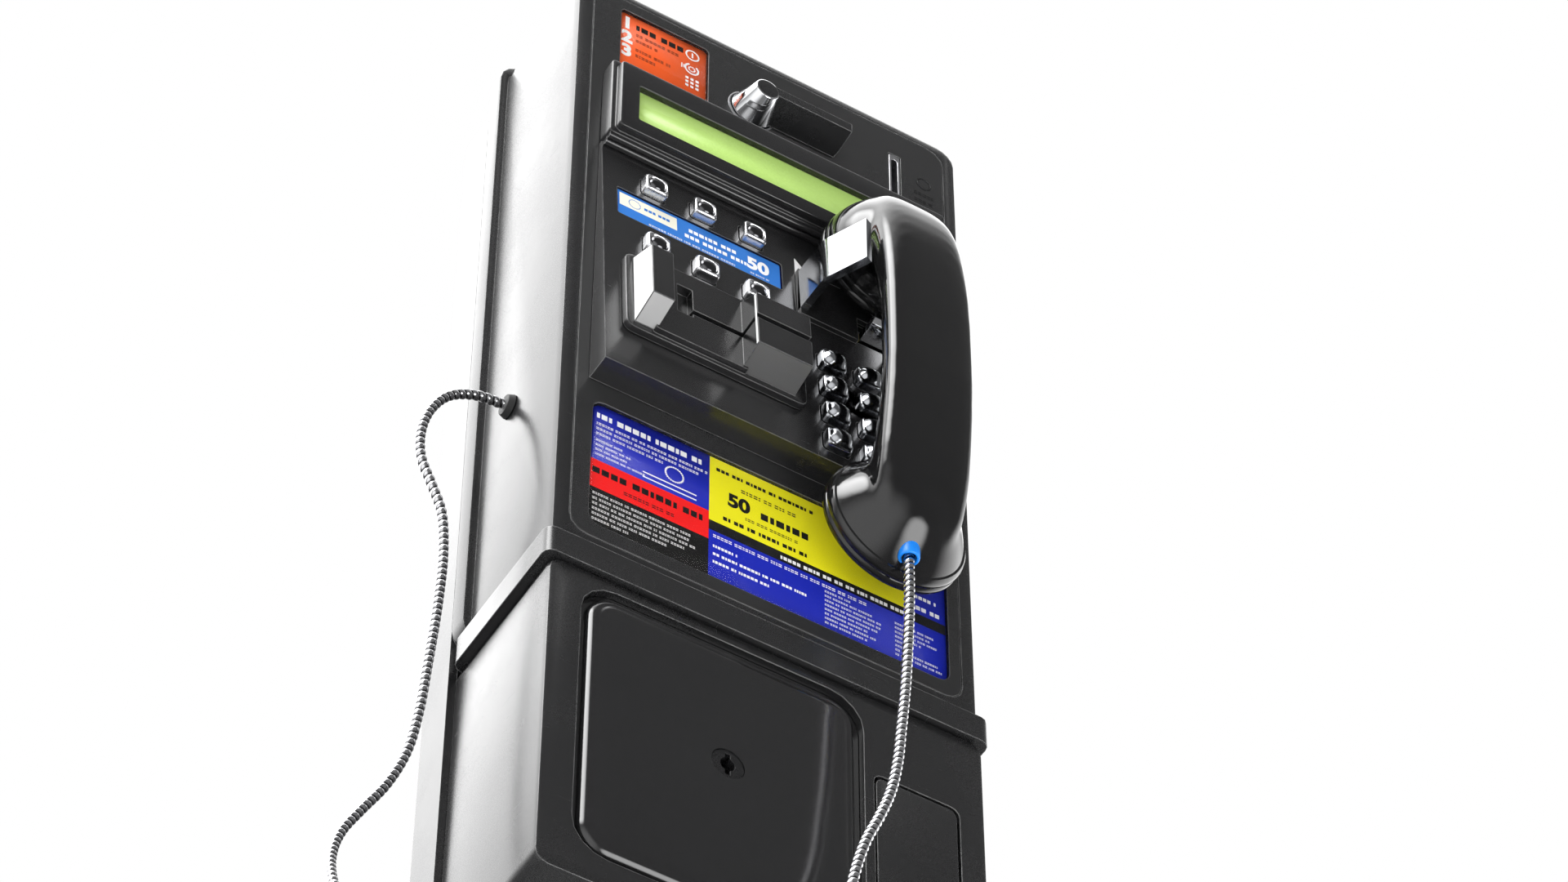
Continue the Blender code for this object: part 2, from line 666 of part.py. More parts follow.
def build_ferrule():
    """The blue sleeve that the cord enters, standing out of the slanting end of the shell."""
    place = (HANDSET_ACROSS, -28.0, 0)
    shell = bpy.data.objects["handset_shell"]
    cut_name = add_object(
        "handset_shell_ferrule_hole",
        cylinder_mesh(place, (0, 0, 1), 30, 56.4, FERRULE_RADIUS + 0.4, sides=20),
    )
    combine(shell, "DIFFERENCE", cut_name)
    ferrule = add_cylinder(
        "cord_ferrule", "blue_plastic", place, (0, 0, 1), FERRULE_FOOT, 56.0, FERRULE_RADIUS,
    )
    shade_round(ferrule)


# ---------------------------------------------------------------- cord

# The route from the grommet on the left side, in a loop under the phone, to the ferrule.
CORD_ROUTE = [
    (-98.6, 40, 107.8), (-111, 40, 105.5), (-122, 40, 98.3), (-129.5, 40, 85.5),
    (-132.9, 40, 70), (-132.0, 40, 56), (-127.0, 40, 44), (-121.8, 40, 31), (-119.6, 40, 10),
    (-120.2, 40, -20), (-122.3, 40, -52), (-124.6, 40, -81), (-128.2, 40, -103.5),
    (-135.2, 40, -123.8), (-144.2, 39.5, -141.5), (-151.8, 38, -157.5), (-156.2, 34.5, -173.5),
    (-158.0, 29, -190), (-156.5, 22, -208), (-150.5, 13, -230), (-138, 3, -251),
    (-118, -8, -269), (-92, -17, -280), (-64, -23, -281), (-38, -26.5, -271), (-17, -28.6, -253),
    (-2, -29.6, -230), (7.5, -30, -205), (13, -30, -180), (17.2, -30, -151), (22.6, -30, -130),
    (29, -30, -113.5), (34.2, -29.5, -98), (37.8, -29, -80.4), (39.9, -28.6, -62.5),
    (42.2, -28.2, -42), (44.2, -28, -16), (45.6, -28, 12), (46, -28, FERRULE_FOOT - GAP),
]
CORD_POINTS = 78


def smooth_line(points, count):
    """Evenly spaced points on a centripetal Catmull-Rom curve through those points."""
    ends = [2 * points[0] - points[1], *points, 2 * points[-1] - points[-2]]
    fine = []
    for a, b, c, d in zip(ends, ends[1:], ends[2:], ends[3:]):
        t1 = (b - a).length ** 0.5
        t2 = t1 + (c - b).length ** 0.5
        t3 = t2 + (d - c).length ** 0.5
        for step in range(24):
            t = t1 + (t2 - t1) * step / 24
            ab = a.lerp(b, t / t1)
            bc = b.lerp(c, (t - t1) / (t2 - t1))
            cd = c.lerp(d, (t - t2) / (t3 - t2))
            abc = ab.lerp(bc, t / t2)
            bcd = bc.lerp(cd, (t - t1) / (t3 - t1))
            fine.append(abc.lerp(bcd, (t - t1) / (t2 - t1)))
    fine.append(points[-1])
    along = [0.0]
    for a, b in zip(fine, fine[1:]):
        along.append(along[-1] + (b - a).length)
    found, index = [], 0
    for step in range(count):
        wanted = along[-1] * step / (count - 1)
        while index < len(fine) - 2 and along[index + 1] < wanted:
            index += 1
        share = (wanted - along[index]) / (along[index + 1] - along[index])
        found.append(fine[index].lerp(fine[index + 1], share))
    return found


def build_cord():
    grommet = add_cylinder(
        "cord_grommet", "rubber", CORD_EXIT, (1, 0, 0), -3.0, -GAP, 4.4, 5.4, sides=20,
    )
    join(grommet, cylinder_mesh(CORD_EXIT, (1, 0, 0), -1.5, 6, 3.2, sides=16))
    curve = bpy.data.curves.new("cord", "CURVE")
    curve.dimensions = "3D"
    curve.bevel_depth = CORD_DIAMETER / 2 * MM
    curve.bevel_resolution = 2
    curve.use_fill_caps = True
    line = smooth_line([at(*p) for p in CORD_ROUTE], CORD_POINTS)
    spline = curve.splines.new("POLY")
    spline.points.add(len(line) - 1)
    for point, place in zip(spline.points, line):
        point.co = (*place, 1.0)
    cord = bpy.data.objects.new("cord", curve)
    curve.materials.append(MATERIALS["steel"])
    COLLECTIONS["payphone"].objects.link(cord)


# ---------------------------------------------------------------- the phone


def main():
    build_wall_plate()
    build_rear_housing()
    build_upper_housing()
    build_lower_housing()
    build_face_panel()
    build_cards()
    build_display()
    build_console()
    build_keys()
    build_card_reader()
    build_cradle()
    build_hook()
    build_coin_path()
    build_coin_lever()
    build_vault()
    build_coin_return()
    build_handset()
    build_ferrule()
    build_cord()


main()
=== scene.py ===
import json
import math
import random

import bmesh
import bpy
import numpy as np
from mathutils import Matrix, Vector


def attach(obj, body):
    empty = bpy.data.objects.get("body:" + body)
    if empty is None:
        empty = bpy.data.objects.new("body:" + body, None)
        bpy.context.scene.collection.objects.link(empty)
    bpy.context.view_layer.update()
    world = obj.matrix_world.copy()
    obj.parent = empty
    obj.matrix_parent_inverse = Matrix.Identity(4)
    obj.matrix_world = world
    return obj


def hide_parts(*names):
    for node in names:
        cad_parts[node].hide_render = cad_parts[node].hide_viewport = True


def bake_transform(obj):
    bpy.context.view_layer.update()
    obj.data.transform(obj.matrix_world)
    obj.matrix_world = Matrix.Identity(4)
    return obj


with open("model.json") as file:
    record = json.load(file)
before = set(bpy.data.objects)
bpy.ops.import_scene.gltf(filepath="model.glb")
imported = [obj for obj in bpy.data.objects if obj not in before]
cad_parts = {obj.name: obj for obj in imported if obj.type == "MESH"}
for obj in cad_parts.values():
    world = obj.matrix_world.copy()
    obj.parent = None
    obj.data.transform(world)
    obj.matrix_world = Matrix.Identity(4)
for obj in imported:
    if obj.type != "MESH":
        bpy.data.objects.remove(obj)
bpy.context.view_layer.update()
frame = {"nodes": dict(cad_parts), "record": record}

MM = 0.001
WALL_DEPTH = 90.0  # from the face of the upper housing to the wall, as in the CAD
MIDDLE_HEIGHT = 82.5
NODES = frame["nodes"]


def at(across, depth, height):
    """A place in the row frame, from millimetres across, back and up as the CAD counts them."""
    return Vector((across, depth - WALL_DEPTH, height - MIDDLE_HEIGHT)) * MM


# ---------------------------------------------------------------- camera and stage

CAMERA_PLACE = Vector((-0.68082, -1.21193, -1.49593))
CAMERA_AIM = Vector((0.3416, 0.5574, 0.7567))


def build_camera():
    data = bpy.data.cameras.new("camera")
    data.lens = 116.69
    data.sensor_width = 36.0
    data.clip_start, data.clip_end = 0.05, 80.0
    camera = bpy.data.objects.new("camera", data)
    camera.location = CAMERA_PLACE
    camera.rotation_mode = "QUATERNION"
    camera.rotation_quaternion = CAMERA_AIM.to_track_quat("-Z", "Y")
    bpy.context.scene.collection.objects.link(camera)
    bpy.context.scene.camera = camera


build_camera()


# ---------------------------------------------------------------- materials


def add_node(tree, kind, **settings):
    node = tree.nodes.new(kind)
    for key, value in settings.items():
        setattr(node, key, value)
    return node


def set_range(node, low, high, new_low, new_high):
    """Fills in the four limits of a Map Range node."""
    limits = {"From Min": low, "From Max": high, "To Min": new_low, "To Max": new_high}
    for name, value in limits.items():
        node.inputs[name].default_value = value


class Graph:
    """A material's nodes, made with short calls."""

    def __init__(self, name):
        self.made = bpy.data.materials.new(name)
        self.made.use_nodes = True
        self.tree = self.made.node_tree
        self.shader = self.tree.nodes["Principled BSDF"]
        self.place = self.add("ShaderNodeTexCoord").outputs["Object"]

    def add(self, kind, **settings):
        return add_node(self.tree, kind, **settings)

    def link(self, source, target):
        self.tree.links.new(source, target)

    def noise(self, scale, stretch=(1, 1, 1), detail=3.0, roughness=0.5):
        mapping = self.add("ShaderNodeMapping")
        mapping.inputs["Scale"].default_value = stretch
        self.link(self.place, mapping.inputs["Vector"])
        node = self.add("ShaderNodeTexNoise")
        node.inputs["Scale"].default_value = scale
        node.inputs["Detail"].default_value = detail
        node.inputs["Roughness"].default_value = roughness
        self.link(mapping.outputs["Vector"], node.inputs["Vector"])
        return node.outputs["Fac"]

    def ranged(self, source, low, high, new_low, new_high):
        node = self.add("ShaderNodeMapRange", interpolation_type="SMOOTHSTEP")
        set_range(node, low, high, new_low, new_high)
        self.link(source, node.inputs["Value"])
        return node.outputs["Result"]

    def maths(self, operation, first, second):
        node = self.add("ShaderNodeMath", operation=operation)
        for socket, value in zip(node.inputs, (first, second)):
            if isinstance(value, (int, float)):
                socket.default_value = value
            else:
                self.link(value, socket)
        return node.outputs["Value"]

    def mixed(self, factor, first, second):
        node = self.add("ShaderNodeMix", data_type="RGBA")
        self.link(factor, node.inputs["Factor"])
        for socket, value in zip((node.inputs[6], node.inputs[7]), (first, second)):
            if isinstance(value, tuple):
                socket.default_value = (*value, 1.0)
            else:
                self.link(value, socket)
        return node.outputs[2]

    def bump(self, height, strength):
        node = self.add("ShaderNodeBump")
        node.inputs["Strength"].default_value = strength
        node.inputs["Distance"].default_value = BUMP_HEIGHT
        self.link(height, node.inputs["Height"])
        self.link(node.outputs["Normal"], self.shader.inputs["Normal"])


def scaled(color, share):
    return tuple(min(1.0, c * share) for c in color)


WEAR_AND_EDGE_HIGHLIGHT = (0.6, 0.6, 0.6)  # bare metal and scuffed plastic at the edges, and a painted highlight along them
WEAR_AND_HIGHLIGHT_REACH = 0.0007  # how far from an edge the worn look and the painted highlight reach, in metres
BUMP_HEIGHT = 0.0002  # in metres


def surface(
    name, color, roughness, metallic=0.0, ior=1.5, spread=0.15, grain=(1600, 0.12),
    stretch=(1, 1, 1), scratches=0.0, wear_and_highlight=0.0, mottle=0.12,
):
    """A painted, plated or moulded surface: grain in its bump, uneven gloss and colour, fine
    scratches, and edges made lighter, partly as worn spots and partly as a painted highlight."""
    g = Graph(name)
    g.shader.inputs["Metallic"].default_value = metallic
    g.shader.inputs["IOR"].default_value = ior
    blotches = g.noise(18, detail=5.0, roughness=0.6)
    fine = g.noise(grain[0], stretch, detail=2.0)
    tone = g.mixed(blotches, scaled(color, 1 - mottle), scaled(color, 1 + mottle))
    rough = g.maths(
        "ADD",
        g.ranged(blotches, 0.3, 0.7, roughness * (1 - spread), roughness * (1 + spread)),
        g.ranged(fine, 0.3, 0.7, -roughness * spread * 0.5, roughness * spread * 0.5),
    )
    if scratches:
        lines = g.ranged(g.noise(60, (1, 1, 22), 4.0), 0.66, 0.72, 0.0, scratches)
        across = g.ranged(g.noise(45, (26, 1, 1.5), 4.0), 0.67, 0.73, 0.0, scratches)
        rough = g.maths("ADD", rough, g.maths("ADD", lines, across))
    # edges lightened all round: partly worn, partly a painted highlight standing in for light caught
    # by the rounded edges
    if wear_and_highlight:
        bevel = g.add("ShaderNodeBevel", samples=4)
        bevel.inputs["Radius"].default_value = WEAR_AND_HIGHLIGHT_REACH
        geometry = g.add("ShaderNodeNewGeometry")
        dot = g.add("ShaderNodeVectorMath", operation="DOT_PRODUCT")
        g.link(bevel.outputs["Normal"], dot.inputs[0])
        g.link(geometry.outputs["Normal"], dot.inputs[1])
        edge = g.ranged(dot.outputs["Value"], 0.985, 0.86, 0.0, 1.0)
        patchy = g.ranged(g.noise(90, detail=6.0, roughness=0.7), 0.3, 0.65, wear_and_highlight * 0.35, wear_and_highlight)
        rubbed_and_highlit = g.maths("MULTIPLY", edge, patchy)
        tone = g.mixed(rubbed_and_highlit, tone, WEAR_AND_EDGE_HIGHLIGHT)
    g.link(tone, g.shader.inputs["Base Color"])
    g.link(rough, g.shader.inputs["Roughness"])
    if grain[1]:
        g.bump(fine, grain[1])
    return g.made


def window_material():
    g = Graph("window")
    g.shader.inputs["Base Color"].default_value = (0.02, 0.02, 0.02, 1.0)
    g.shader.inputs["IOR"].default_value = 1.5
    g.shader.inputs["Alpha"].default_value = 0.06
    g.link(g.ranged(g.noise(30, detail=6.0), 0.35, 0.7, 0.03, 0.08), g.shader.inputs["Roughness"])
    return g.made


def display_material():
    g = Graph("display_glow")
    cells = g.noise(900, detail=2.0)
    shade = g.noise(9, (1, 1, 3), 2.0)
    tone = g.mixed(g.ranged(cells, 0.3, 0.7, 0.0, 1.0), (0.33, 0.5, 0.12), (0.36, 0.54, 0.14))
    tone = g.mixed(g.ranged(shade, 0.3, 0.7, 0.0, 0.25), tone, (0.42, 0.6, 0.18))
    g.link(tone, g.shader.inputs["Base Color"])
    g.link(tone, g.shader.inputs["Emission Color"])
    g.shader.inputs["Emission Strength"].default_value = 0.62
    g.shader.inputs["Roughness"].default_value = 0.35
    g.bump(cells, 0.05)
    return g.made


def board_material():
    g = Graph("circuit_board")
    tracks = g.add("ShaderNodeTexBrick")
    tracks.inputs["Scale"].default_value = 90
    tracks.inputs["Color1"].default_value = (0.01, 0.12, 0.04, 1)
    tracks.inputs["Color2"].default_value = (0.02, 0.2, 0.07, 1)
    tracks.inputs["Mortar"].default_value = (0.3, 0.2, 0.05, 1)
    tracks.inputs["Mortar Size"].default_value = 0.008
    g.link(g.place, tracks.inputs["Vector"])
    g.link(tracks.outputs["Color"], g.shader.inputs["Base Color"])
    g.shader.inputs["Roughness"].default_value = 0.4
    g.bump(tracks.outputs["Fac"], 0.3)
    return g.made


CARD_IOR = 1.25  # low, so that the bright sides don't haze the cards

LOOKS = {
    "black_paint": surface(
        "black_enamel", (0.012, 0.012, 0.0125), 0.25, ior=1.62, grain=(2300, 0.16),
        scratches=0.03, wear_and_highlight=0.4,
    ),
    "panel_paint": surface(
        "panel_enamel", (0.016, 0.016, 0.0165), 0.3, ior=1.55, grain=(2600, 0.24), scratches=0.03,
        wear_and_highlight=0.3,
    ),
    "console_plastic": surface(
        "console_plastic", (0.011, 0.011, 0.0115), 0.22, ior=1.55, grain=(2000, 0.16),
        scratches=0.02, wear_and_highlight=0.3,
    ),
    "gloss_black": surface(
        "handset_gloss", (0.006, 0.006, 0.0062), 0.085, ior=1.55, grain=(900, 0.02),
        scratches=0.05, spread=0.3,
    ),
    "chrome": surface("chrome_plate", (0.86, 0.87, 0.89), 0.05, 1.0, grain=(700, 0.015), spread=0.4),
    "dark_chrome": surface(
        "smoked_chrome", (0.4, 0.41, 0.43), 0.13, 1.0, grain=(900, 0.02), spread=0.4,
    ),
    "steel": surface(
        "brushed_steel", (0.56, 0.56, 0.58), 0.32, 1.0, grain=(500, 0.2), stretch=(1, 1, 14),
    ),
    "clear": window_material(),
    "display_green": display_material(),
    "card_orange": surface(
        "orange_card", (0.88, 0.115, 0.02), 0.5, ior=CARD_IOR, grain=(1500, 0.1), mottle=0.05,
    ),
    "card_blue": surface(
        "blue_card", (0.008, 0.018, 0.4), 0.45, ior=CARD_IOR, grain=(1500, 0.1), mottle=0.08,
    ),
    "blue_plastic": surface("blue_sleeve", (0.008, 0.2, 0.72), 0.3, grain=(1200, 0.08)),
    "board_green": board_material(),
    "grey_plastic": surface("grey_nylon", (0.24, 0.24, 0.25), 0.5, grain=(1400, 0.2)),
    "rubber": surface("black_rubber", (0.012, 0.012, 0.012), 0.6, grain=(1200, 0.3)),
}


def ink(name, color, roughness, mottle):
    return surface(
        f"print_{name}", color, roughness, ior=CARD_IOR, grain=(1500, 0.05), mottle=mottle,
    )


PRINT = {
    "white": ink("white", (0.85, 0.85, 0.85), 0.5, 0.04),
    "black": ink("black", (0.01, 0.01, 0.01), 0.4, 0.12),
    "red": ink("red", (0.83, 0.012, 0.012), 0.45, 0.06),
    "yellow": ink("yellow", (0.84, 0.78, 0.012), 0.45, 0.05),
    "cream": ink("cream", (0.78, 0.76, 0.64), 0.5, 0.05),
    "sky": ink("sky", (0.03, 0.17, 0.55), 0.45, 0.06),
}
# near white all over: a painted reflection of the bright surroundings, for the left faces of the card
# reader's guide blocks
GUIDE_FACE_PAINTED_REFLECTION = surface("guide_face_painted_reflection", (0.9, 0.9, 0.9), 0.42, grain=(1800, 0.1), mottle=0.04)
VAULT_ENAMEL = surface(
    "vault_enamel", (0.011, 0.011, 0.0115), 0.13, ior=1.6, grain=(1500, 0.03), scratches=0.03,
)
ZINC = surface(
    "zinc_paint", (0.16, 0.163, 0.168), 0.5, grain=(900, 0.15), scratches=0.1, mottle=0.25,
)
LOCK_FACE = surface("lock_face", (0.008, 0.008, 0.0085), 0.25, ior=1.5, grain=(1500, 0.05))
BUTTON_PLATE = surface("button_plate", (0.74, 0.74, 0.76), 0.24, 1.0, grain=(1400, 0.04))
# painted sheen and shade under the card reader's guide blocks: lighter grey on the left, darker grey
# on the right
GUIDE_UNDERSIDE_PAINTED_LIGHT = {
    "left": surface("underside_painted_sheen", (0.3, 0.3, 0.3), 0.4, grain=(1800, 0.12)),
    "right": surface("underside_painted_shade", (0.075, 0.075, 0.075), 0.4, grain=(1800, 0.12)),
}
SMOKED = surface("smoked_dome", (0.1, 0.1, 0.105), 0.08, 1.0, grain=(900, 0.01), spread=0.3)


def cord_material():
    """Bright steel with painted shade where the helix dips: the mesh carries how high each point
    stands.
    """
    g = Graph("cord_steel")
    g.shader.inputs["Metallic"].default_value = 1.0
    blotches = g.noise(40, detail=5.0)
    bright = g.mixed(blotches, (0.6, 0.6, 0.62), (0.78, 0.78, 0.8))
    crest = g.add("ShaderNodeAttribute", attribute_name="crest").outputs["Fac"]
    # painted shade: near black where the helix dips, for the shadow between turns of the armour
    tone = g.mixed(g.ranged(crest, 0.35, 0.85, 0.0, 1.0), (0.035, 0.035, 0.036), bright)
    g.link(tone, g.shader.inputs["Base Color"])
    g.link(g.ranged(blotches, 0.3, 0.7, 0.11, 0.2), g.shader.inputs["Roughness"])
    g.bump(g.noise(900, detail=2.0), 0.05)
    return g.made


CORD_STEEL = cord_material()


# ---------------------------------------------------------------- making pieces


def add_piece(name, bm, look, body, replaces=()):
    """Makes a piece of the bmesh, in place, riding on its body."""
    bmesh.ops.recalc_face_normals(bm, faces=bm.faces)
    mesh = bpy.data.meshes.new(name)
    bm.to_mesh(mesh)
    bm.free()
    return place_piece(name, mesh, look, body, replaces)


def place_piece(name, mesh, look, body, replaces=()):
    obj = bpy.data.objects.new(name, mesh)
    bpy.context.scene.collection.objects.link(obj)
    mesh.materials.clear()
    mesh.materials.append(look)
    mesh.shade_smooth()
    mesh.set_sharp_from_angle(angle=math.radians(38))
    if body:
        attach(obj, body)
    if replaces:
        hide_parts(*replaces)
    return obj


def bake(obj):
    """Applies the object's modifiers to its mesh."""
    graph = bpy.context.evaluated_depsgraph_get()
    mesh = bpy.data.meshes.new_from_object(obj.evaluated_get(graph))
    obj.modifiers.clear()
    obj.data = mesh


def loft(rings):
    """Joins rings of the same number of places, and fills the first and the last."""
    bm = bmesh.new()
    made = [[bm.verts.new(p) for p in ring] for ring in rings]
    for near, far in zip(made, made[1:]):
        for k in range(len(near)):
            after = (k + 1) % len(near)
            bm.faces.new((near[k], near[after], far[after], far[k]))
    bm.faces.new(made[0])
    bm.faces.new(made[-1])
    return bm


def superellipse(turn, power):
    """A place on a rounded square of half width 1: the higher the power, the squarer it is."""
    c, n = math.cos(turn), math.sin(turn)
    return math.copysign(abs(c) ** (2 / power), c), math.copysign(abs(n) ** (2 / power), n)


def rounded_ring(box, inset, corner, depth, steps=9):
    """A rectangle with round corners, in the plane at that depth. box is x0, x1, h0, h1."""
    x0, x1, h0, h1 = box[0] + inset, box[1] - inset, box[2] + inset, box[3] - inset
    r = max(corner - inset, 0.05)
    ring = []
    for cx, ch, start in (
        (x1 - r, h1 - r, 0), (x0 + r, h1 - r, 90), (x0 + r, h0 + r, 180), (x1 - r, h0 + r, 270),
    ):
        for k in range(steps):
            angle = math.radians(start + 90 * k / (steps - 1))
            ring.append(at(cx + r * math.cos(angle), depth, ch + r * math.sin(angle)))
    return ring


def turned(place, profile, sides=64):
    """A round form about the depth direction, from (depth, radius) pairs."""
    rings = [
        [
            at(
                place[0] + radius * math.cos(2 * math.pi * k / sides), depth,
                place[1] + radius * math.sin(2 * math.pi * k / sides),
            )
            for k in range(sides)
        ]
        for depth, radius in profile
    ]
    return loft(rings)


def corners_of(box):
    x0, x1, h0, h1 = box
    return (x0, h0), (x1, h0), (x1, h1), (x0, h1)


def slab(box, depths):
    """A plain box: x0, x1, h0, h1 and a pair of depths."""
    return loft([[at(x, d, h) for x, h in corners_of(box)] for d in depths])


def cut_away(obj, bm):
    """Cuts the bmesh's closed forms out of the object, for good."""
    mesh = bpy.data.meshes.new("cutter")
    bm.to_mesh(mesh)
    bm.free()
    cutter = bpy.data.objects.new("cutter", mesh)
    bpy.context.scene.collection.objects.link(cutter)
    cut = obj.modifiers.new("cut", "BOOLEAN")
    cut.operation, cut.solver, cut.object = "DIFFERENCE", "EXACT", cutter
    bpy.context.view_layer.update()
    bake(obj)
    bpy.data.objects.remove(cutter)


# ---------------------------------------------------------------- cord

CORD_ROUTE = [
    (-98.6, 40, 107.8), (-111, 40, 105.5), (-122, 40, 98.3), (-129.5, 40, 85.5),
    (-132.9, 40, 70), (-132.0, 40, 56), (-127.0, 40, 44), (-121.8, 40, 31), (-119.6, 40, 10),
    (-120.2, 40, -20), (-122.3, 40, -52), (-124.6, 40, -81), (-128.2, 40, -103.5),
    (-135.2, 40, -123.8), (-144.2, 39.5, -141.5), (-151.8, 38, -157.5), (-156.2, 34.5, -173.5),
    (-158.0, 29, -190), (-156.5, 22, -208), (-150.5, 13, -230), (-138, 3, -251),
    (-118, -8, -269), (-92, -17, -279.9), (-64, -23, -280.85), (-38, -26.5, -271), (-17, -28.6, -253),
    (-2, -29.6, -230), (7.5, -30, -205), (13, -30, -180), (17.2, -30, -151), (22.6, -30, -130),
    (29, -30, -113.5), (34.2, -29.5, -98), (37.8, -29, -80.4), (39.9, -28.6, -62.5),
    (42.2, -28.2, -42), (44.2, -28, -16), (45.6, -28, 12), (46, -28, 37.4),
]
CORD_RADIUS = 2.24
CORD_GROOVE = 0.7  # the radius between two turns of the armour, as a share of CORD_RADIUS
CORD_PITCH = 3.3  # length of one turn of the armour
RINGS_PER_TURN = 8
CORD_SIDES = 14


def smooth_line(points, count):
    """Evenly spaced points on a centripetal Catmull-Rom curve, as in the CAD, and its length."""
    ends = [2 * points[0] - points[1], *points, 2 * points[-1] - points[-2]]
    fine = []
    for a, b, c, d in zip(ends, ends[1:], ends[2:], ends[3:]):
        t1 = (b - a).length ** 0.5
        t2 = t1 + (c - b).length ** 0.5
        t3 = t2 + (d - c).length ** 0.5
        for step in range(24):
            t = t1 + (t2 - t1) * step / 24
            share = (t - t1) / (t2 - t1)
            ab, bc, cd = a.lerp(b, t / t1), b.lerp(c, share), c.lerp(d, (t - t2) / (t3 - t2))
            near, far = ab.lerp(bc, t / t2), bc.lerp(cd, (t - t1) / (t3 - t1))
            fine.append(near.lerp(far, share))
    fine.append(points[-1])
    steps = np.array([0.0] + [(b - a).length for a, b in zip(fine, fine[1:])])
    along = np.cumsum(steps)
    places = np.array([list(p) for p in fine])
    wanted = np.linspace(0, along[-1], count)
    found = np.stack([np.interp(wanted, along, places[:, k]) for k in range(3)], axis=1)
    return [Vector(p) for p in found], float(along[-1])


def build_cord():
    """Interlocked steel armour: a tube whose radius rises and falls along a helix."""
    route = [at(*p) for p in CORD_ROUTE]
    _, length = smooth_line(route, 2)
    count = int(length / MM / CORD_PITCH * RINGS_PER_TURN)
    line, length = smooth_line(route, count)
    side = Vector((0, 1, 0))
    rings, crests = [], []
    for k, centre in enumerate(line):
        ahead = (line[min(k + 1, count - 1)] - line[max(k - 1, 0)]).normalized()
        side = (side - ahead * side.dot(ahead)).normalized()
        third = ahead.cross(side)
        ring = []
        for j in range(CORD_SIDES):
            turn = 2 * math.pi * j / CORD_SIDES
            phase = (k / RINGS_PER_TURN - j / CORD_SIDES) % 1.0
            crest = math.sin(math.pi * phase) ** 0.5
            swell = CORD_GROOVE + 0.3 * crest
            crests.append(crest)
            outward = side * math.cos(turn) + third * math.sin(turn)
            ring.append(centre + outward * CORD_RADIUS * swell * MM)
        rings.append(ring)
    cord = add_piece("armoured_cord", loft(rings), CORD_STEEL, None, ["cord"])
    cord.data.set_sharp_from_angle(angle=math.radians(80))
    # each point's height on the helix, for the painted shade in the grooves
    cord.data.attributes.new("crest", "FLOAT", "POINT").data.foreach_set("value", crests)
    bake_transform(cord)
    return cord, length, line


cord, cord_length, cord_line = build_cord()


# ---------------------------------------------------------------- CAD nodes that stay

SLOT_OF = {row["node"]: row["material_slot"] for row in frame["record"]["subparts"]}
EDGE_WIDTH = {  # how far each node's sharp edges are rounded, in millimetres
    "upper_housing": 0.7, "lower_housing": 0.7, "rear_housing": 0.6, "face_panel": 0.3,
    "console": 1.1, "display_bezel": 0.7, "card_reader_bezel": 0.45, "return_flap": 0.35,
    "wall_plate": 0.3, "coin_slot_insert": 0.4, "vault_lock": 0.25, "hook_lever": 0.4,
    "return_bucket": 0.2, "cord_grommet": 0.3,
}


def finish_nodes():
    """Gives every CAD node its procedural material, and rounds the edges of those that show."""
    for name, node in NODES.items():
        node.data.materials.clear()
        node.data.materials.append(LOOKS[SLOT_OF[name]])
        if "custom_normal" in node.data.attributes:
            node.data.attributes.remove(node.data.attributes["custom_normal"])
        node.data.shade_smooth()
        weld = node.modifiers.new("weld", "WELD")
        weld.merge_threshold = 1e-6
        flat = node.modifiers.new("flat", "DECIMATE")
        flat.decimate_type = "DISSOLVE"
        flat.angle_limit = math.radians(0.6)
        if name in EDGE_WIDTH:
            bevel = node.modifiers.new("edges", "BEVEL")
            bevel.width = EDGE_WIDTH[name] * MM
            bevel.segments = 2
            bevel.limit_method = "ANGLE"
            bevel.angle_limit = math.radians(40)
            bevel.harden_normals = True
            bevel.miter_outer = "MITER_ARC"


finish_nodes()
NODES["vault_lock"].data.materials[0] = LOCK_FACE
NODES["wall_plate"].data.materials[0] = ZINC


# ---------------------------------------------------------------- handset

HANDSET_ACROSS = 46.0
EAR_HEIGHT, MOUTH_HEIGHT = 224.0, 64.0
EAR_PROFILE = [  # depth, radius
    (-45, 5), (-44, 10), (-42, 15), (-38.5, 21.5), (-34, 26), (-29, 29), (-24, 30.8),
    (-20, 31.3), (-18.6, 31.3),
]
MOUTH_PROFILE = [
    (-43, 6), (-41.5, 11), (-38, 16.5), (-33, 21.5), (-28, 25.6), (-24, 28.6), (-20.5, 30.9),
    (-18.6, 31.3),
]
COLLAR_PROFILE = [
    (-24, 25), (-22.6, 30.2), (-21.4, 31.0), (-20.2, 31.35), (-19.0, 31.4), (-18.6, 31.2),
    (-18.5, 30.6), (-18.5, 24),
]
CAP_PROFILE = [
    (-18.4, 30.2), (-18.1, 30.4), (-17.6, 31.0), (-16.4, 31.35), (-15.2, 31.2), (-14.2, 30.4),
    (-13.6, 29.0), (-13.5, 27.4), (-13.8, 22), (-14.6, 12), (-14.8, 3),
]
SLEEVE_PROFILE = [  # height, radius: from inside the lower end, round its lip, up the outside
    (39.5, 2.7), (36.9, 2.9), (36.3, 3.2), (36.2, 3.8), (36.5, 4.2), (37.4, 4.4), (47, 4.4),
    (55, 4.2), (56.4, 3.6), (57, 2.0),
]
SLEEVE_DEPTH, SLEEVE_SIDES = -28, 40
HOLE_RADIUS = 1.3
HOLE_RINGS = ((1, 0.0), (6, 6.0), (12, 12.0))  # how many sound holes, how far from the middle
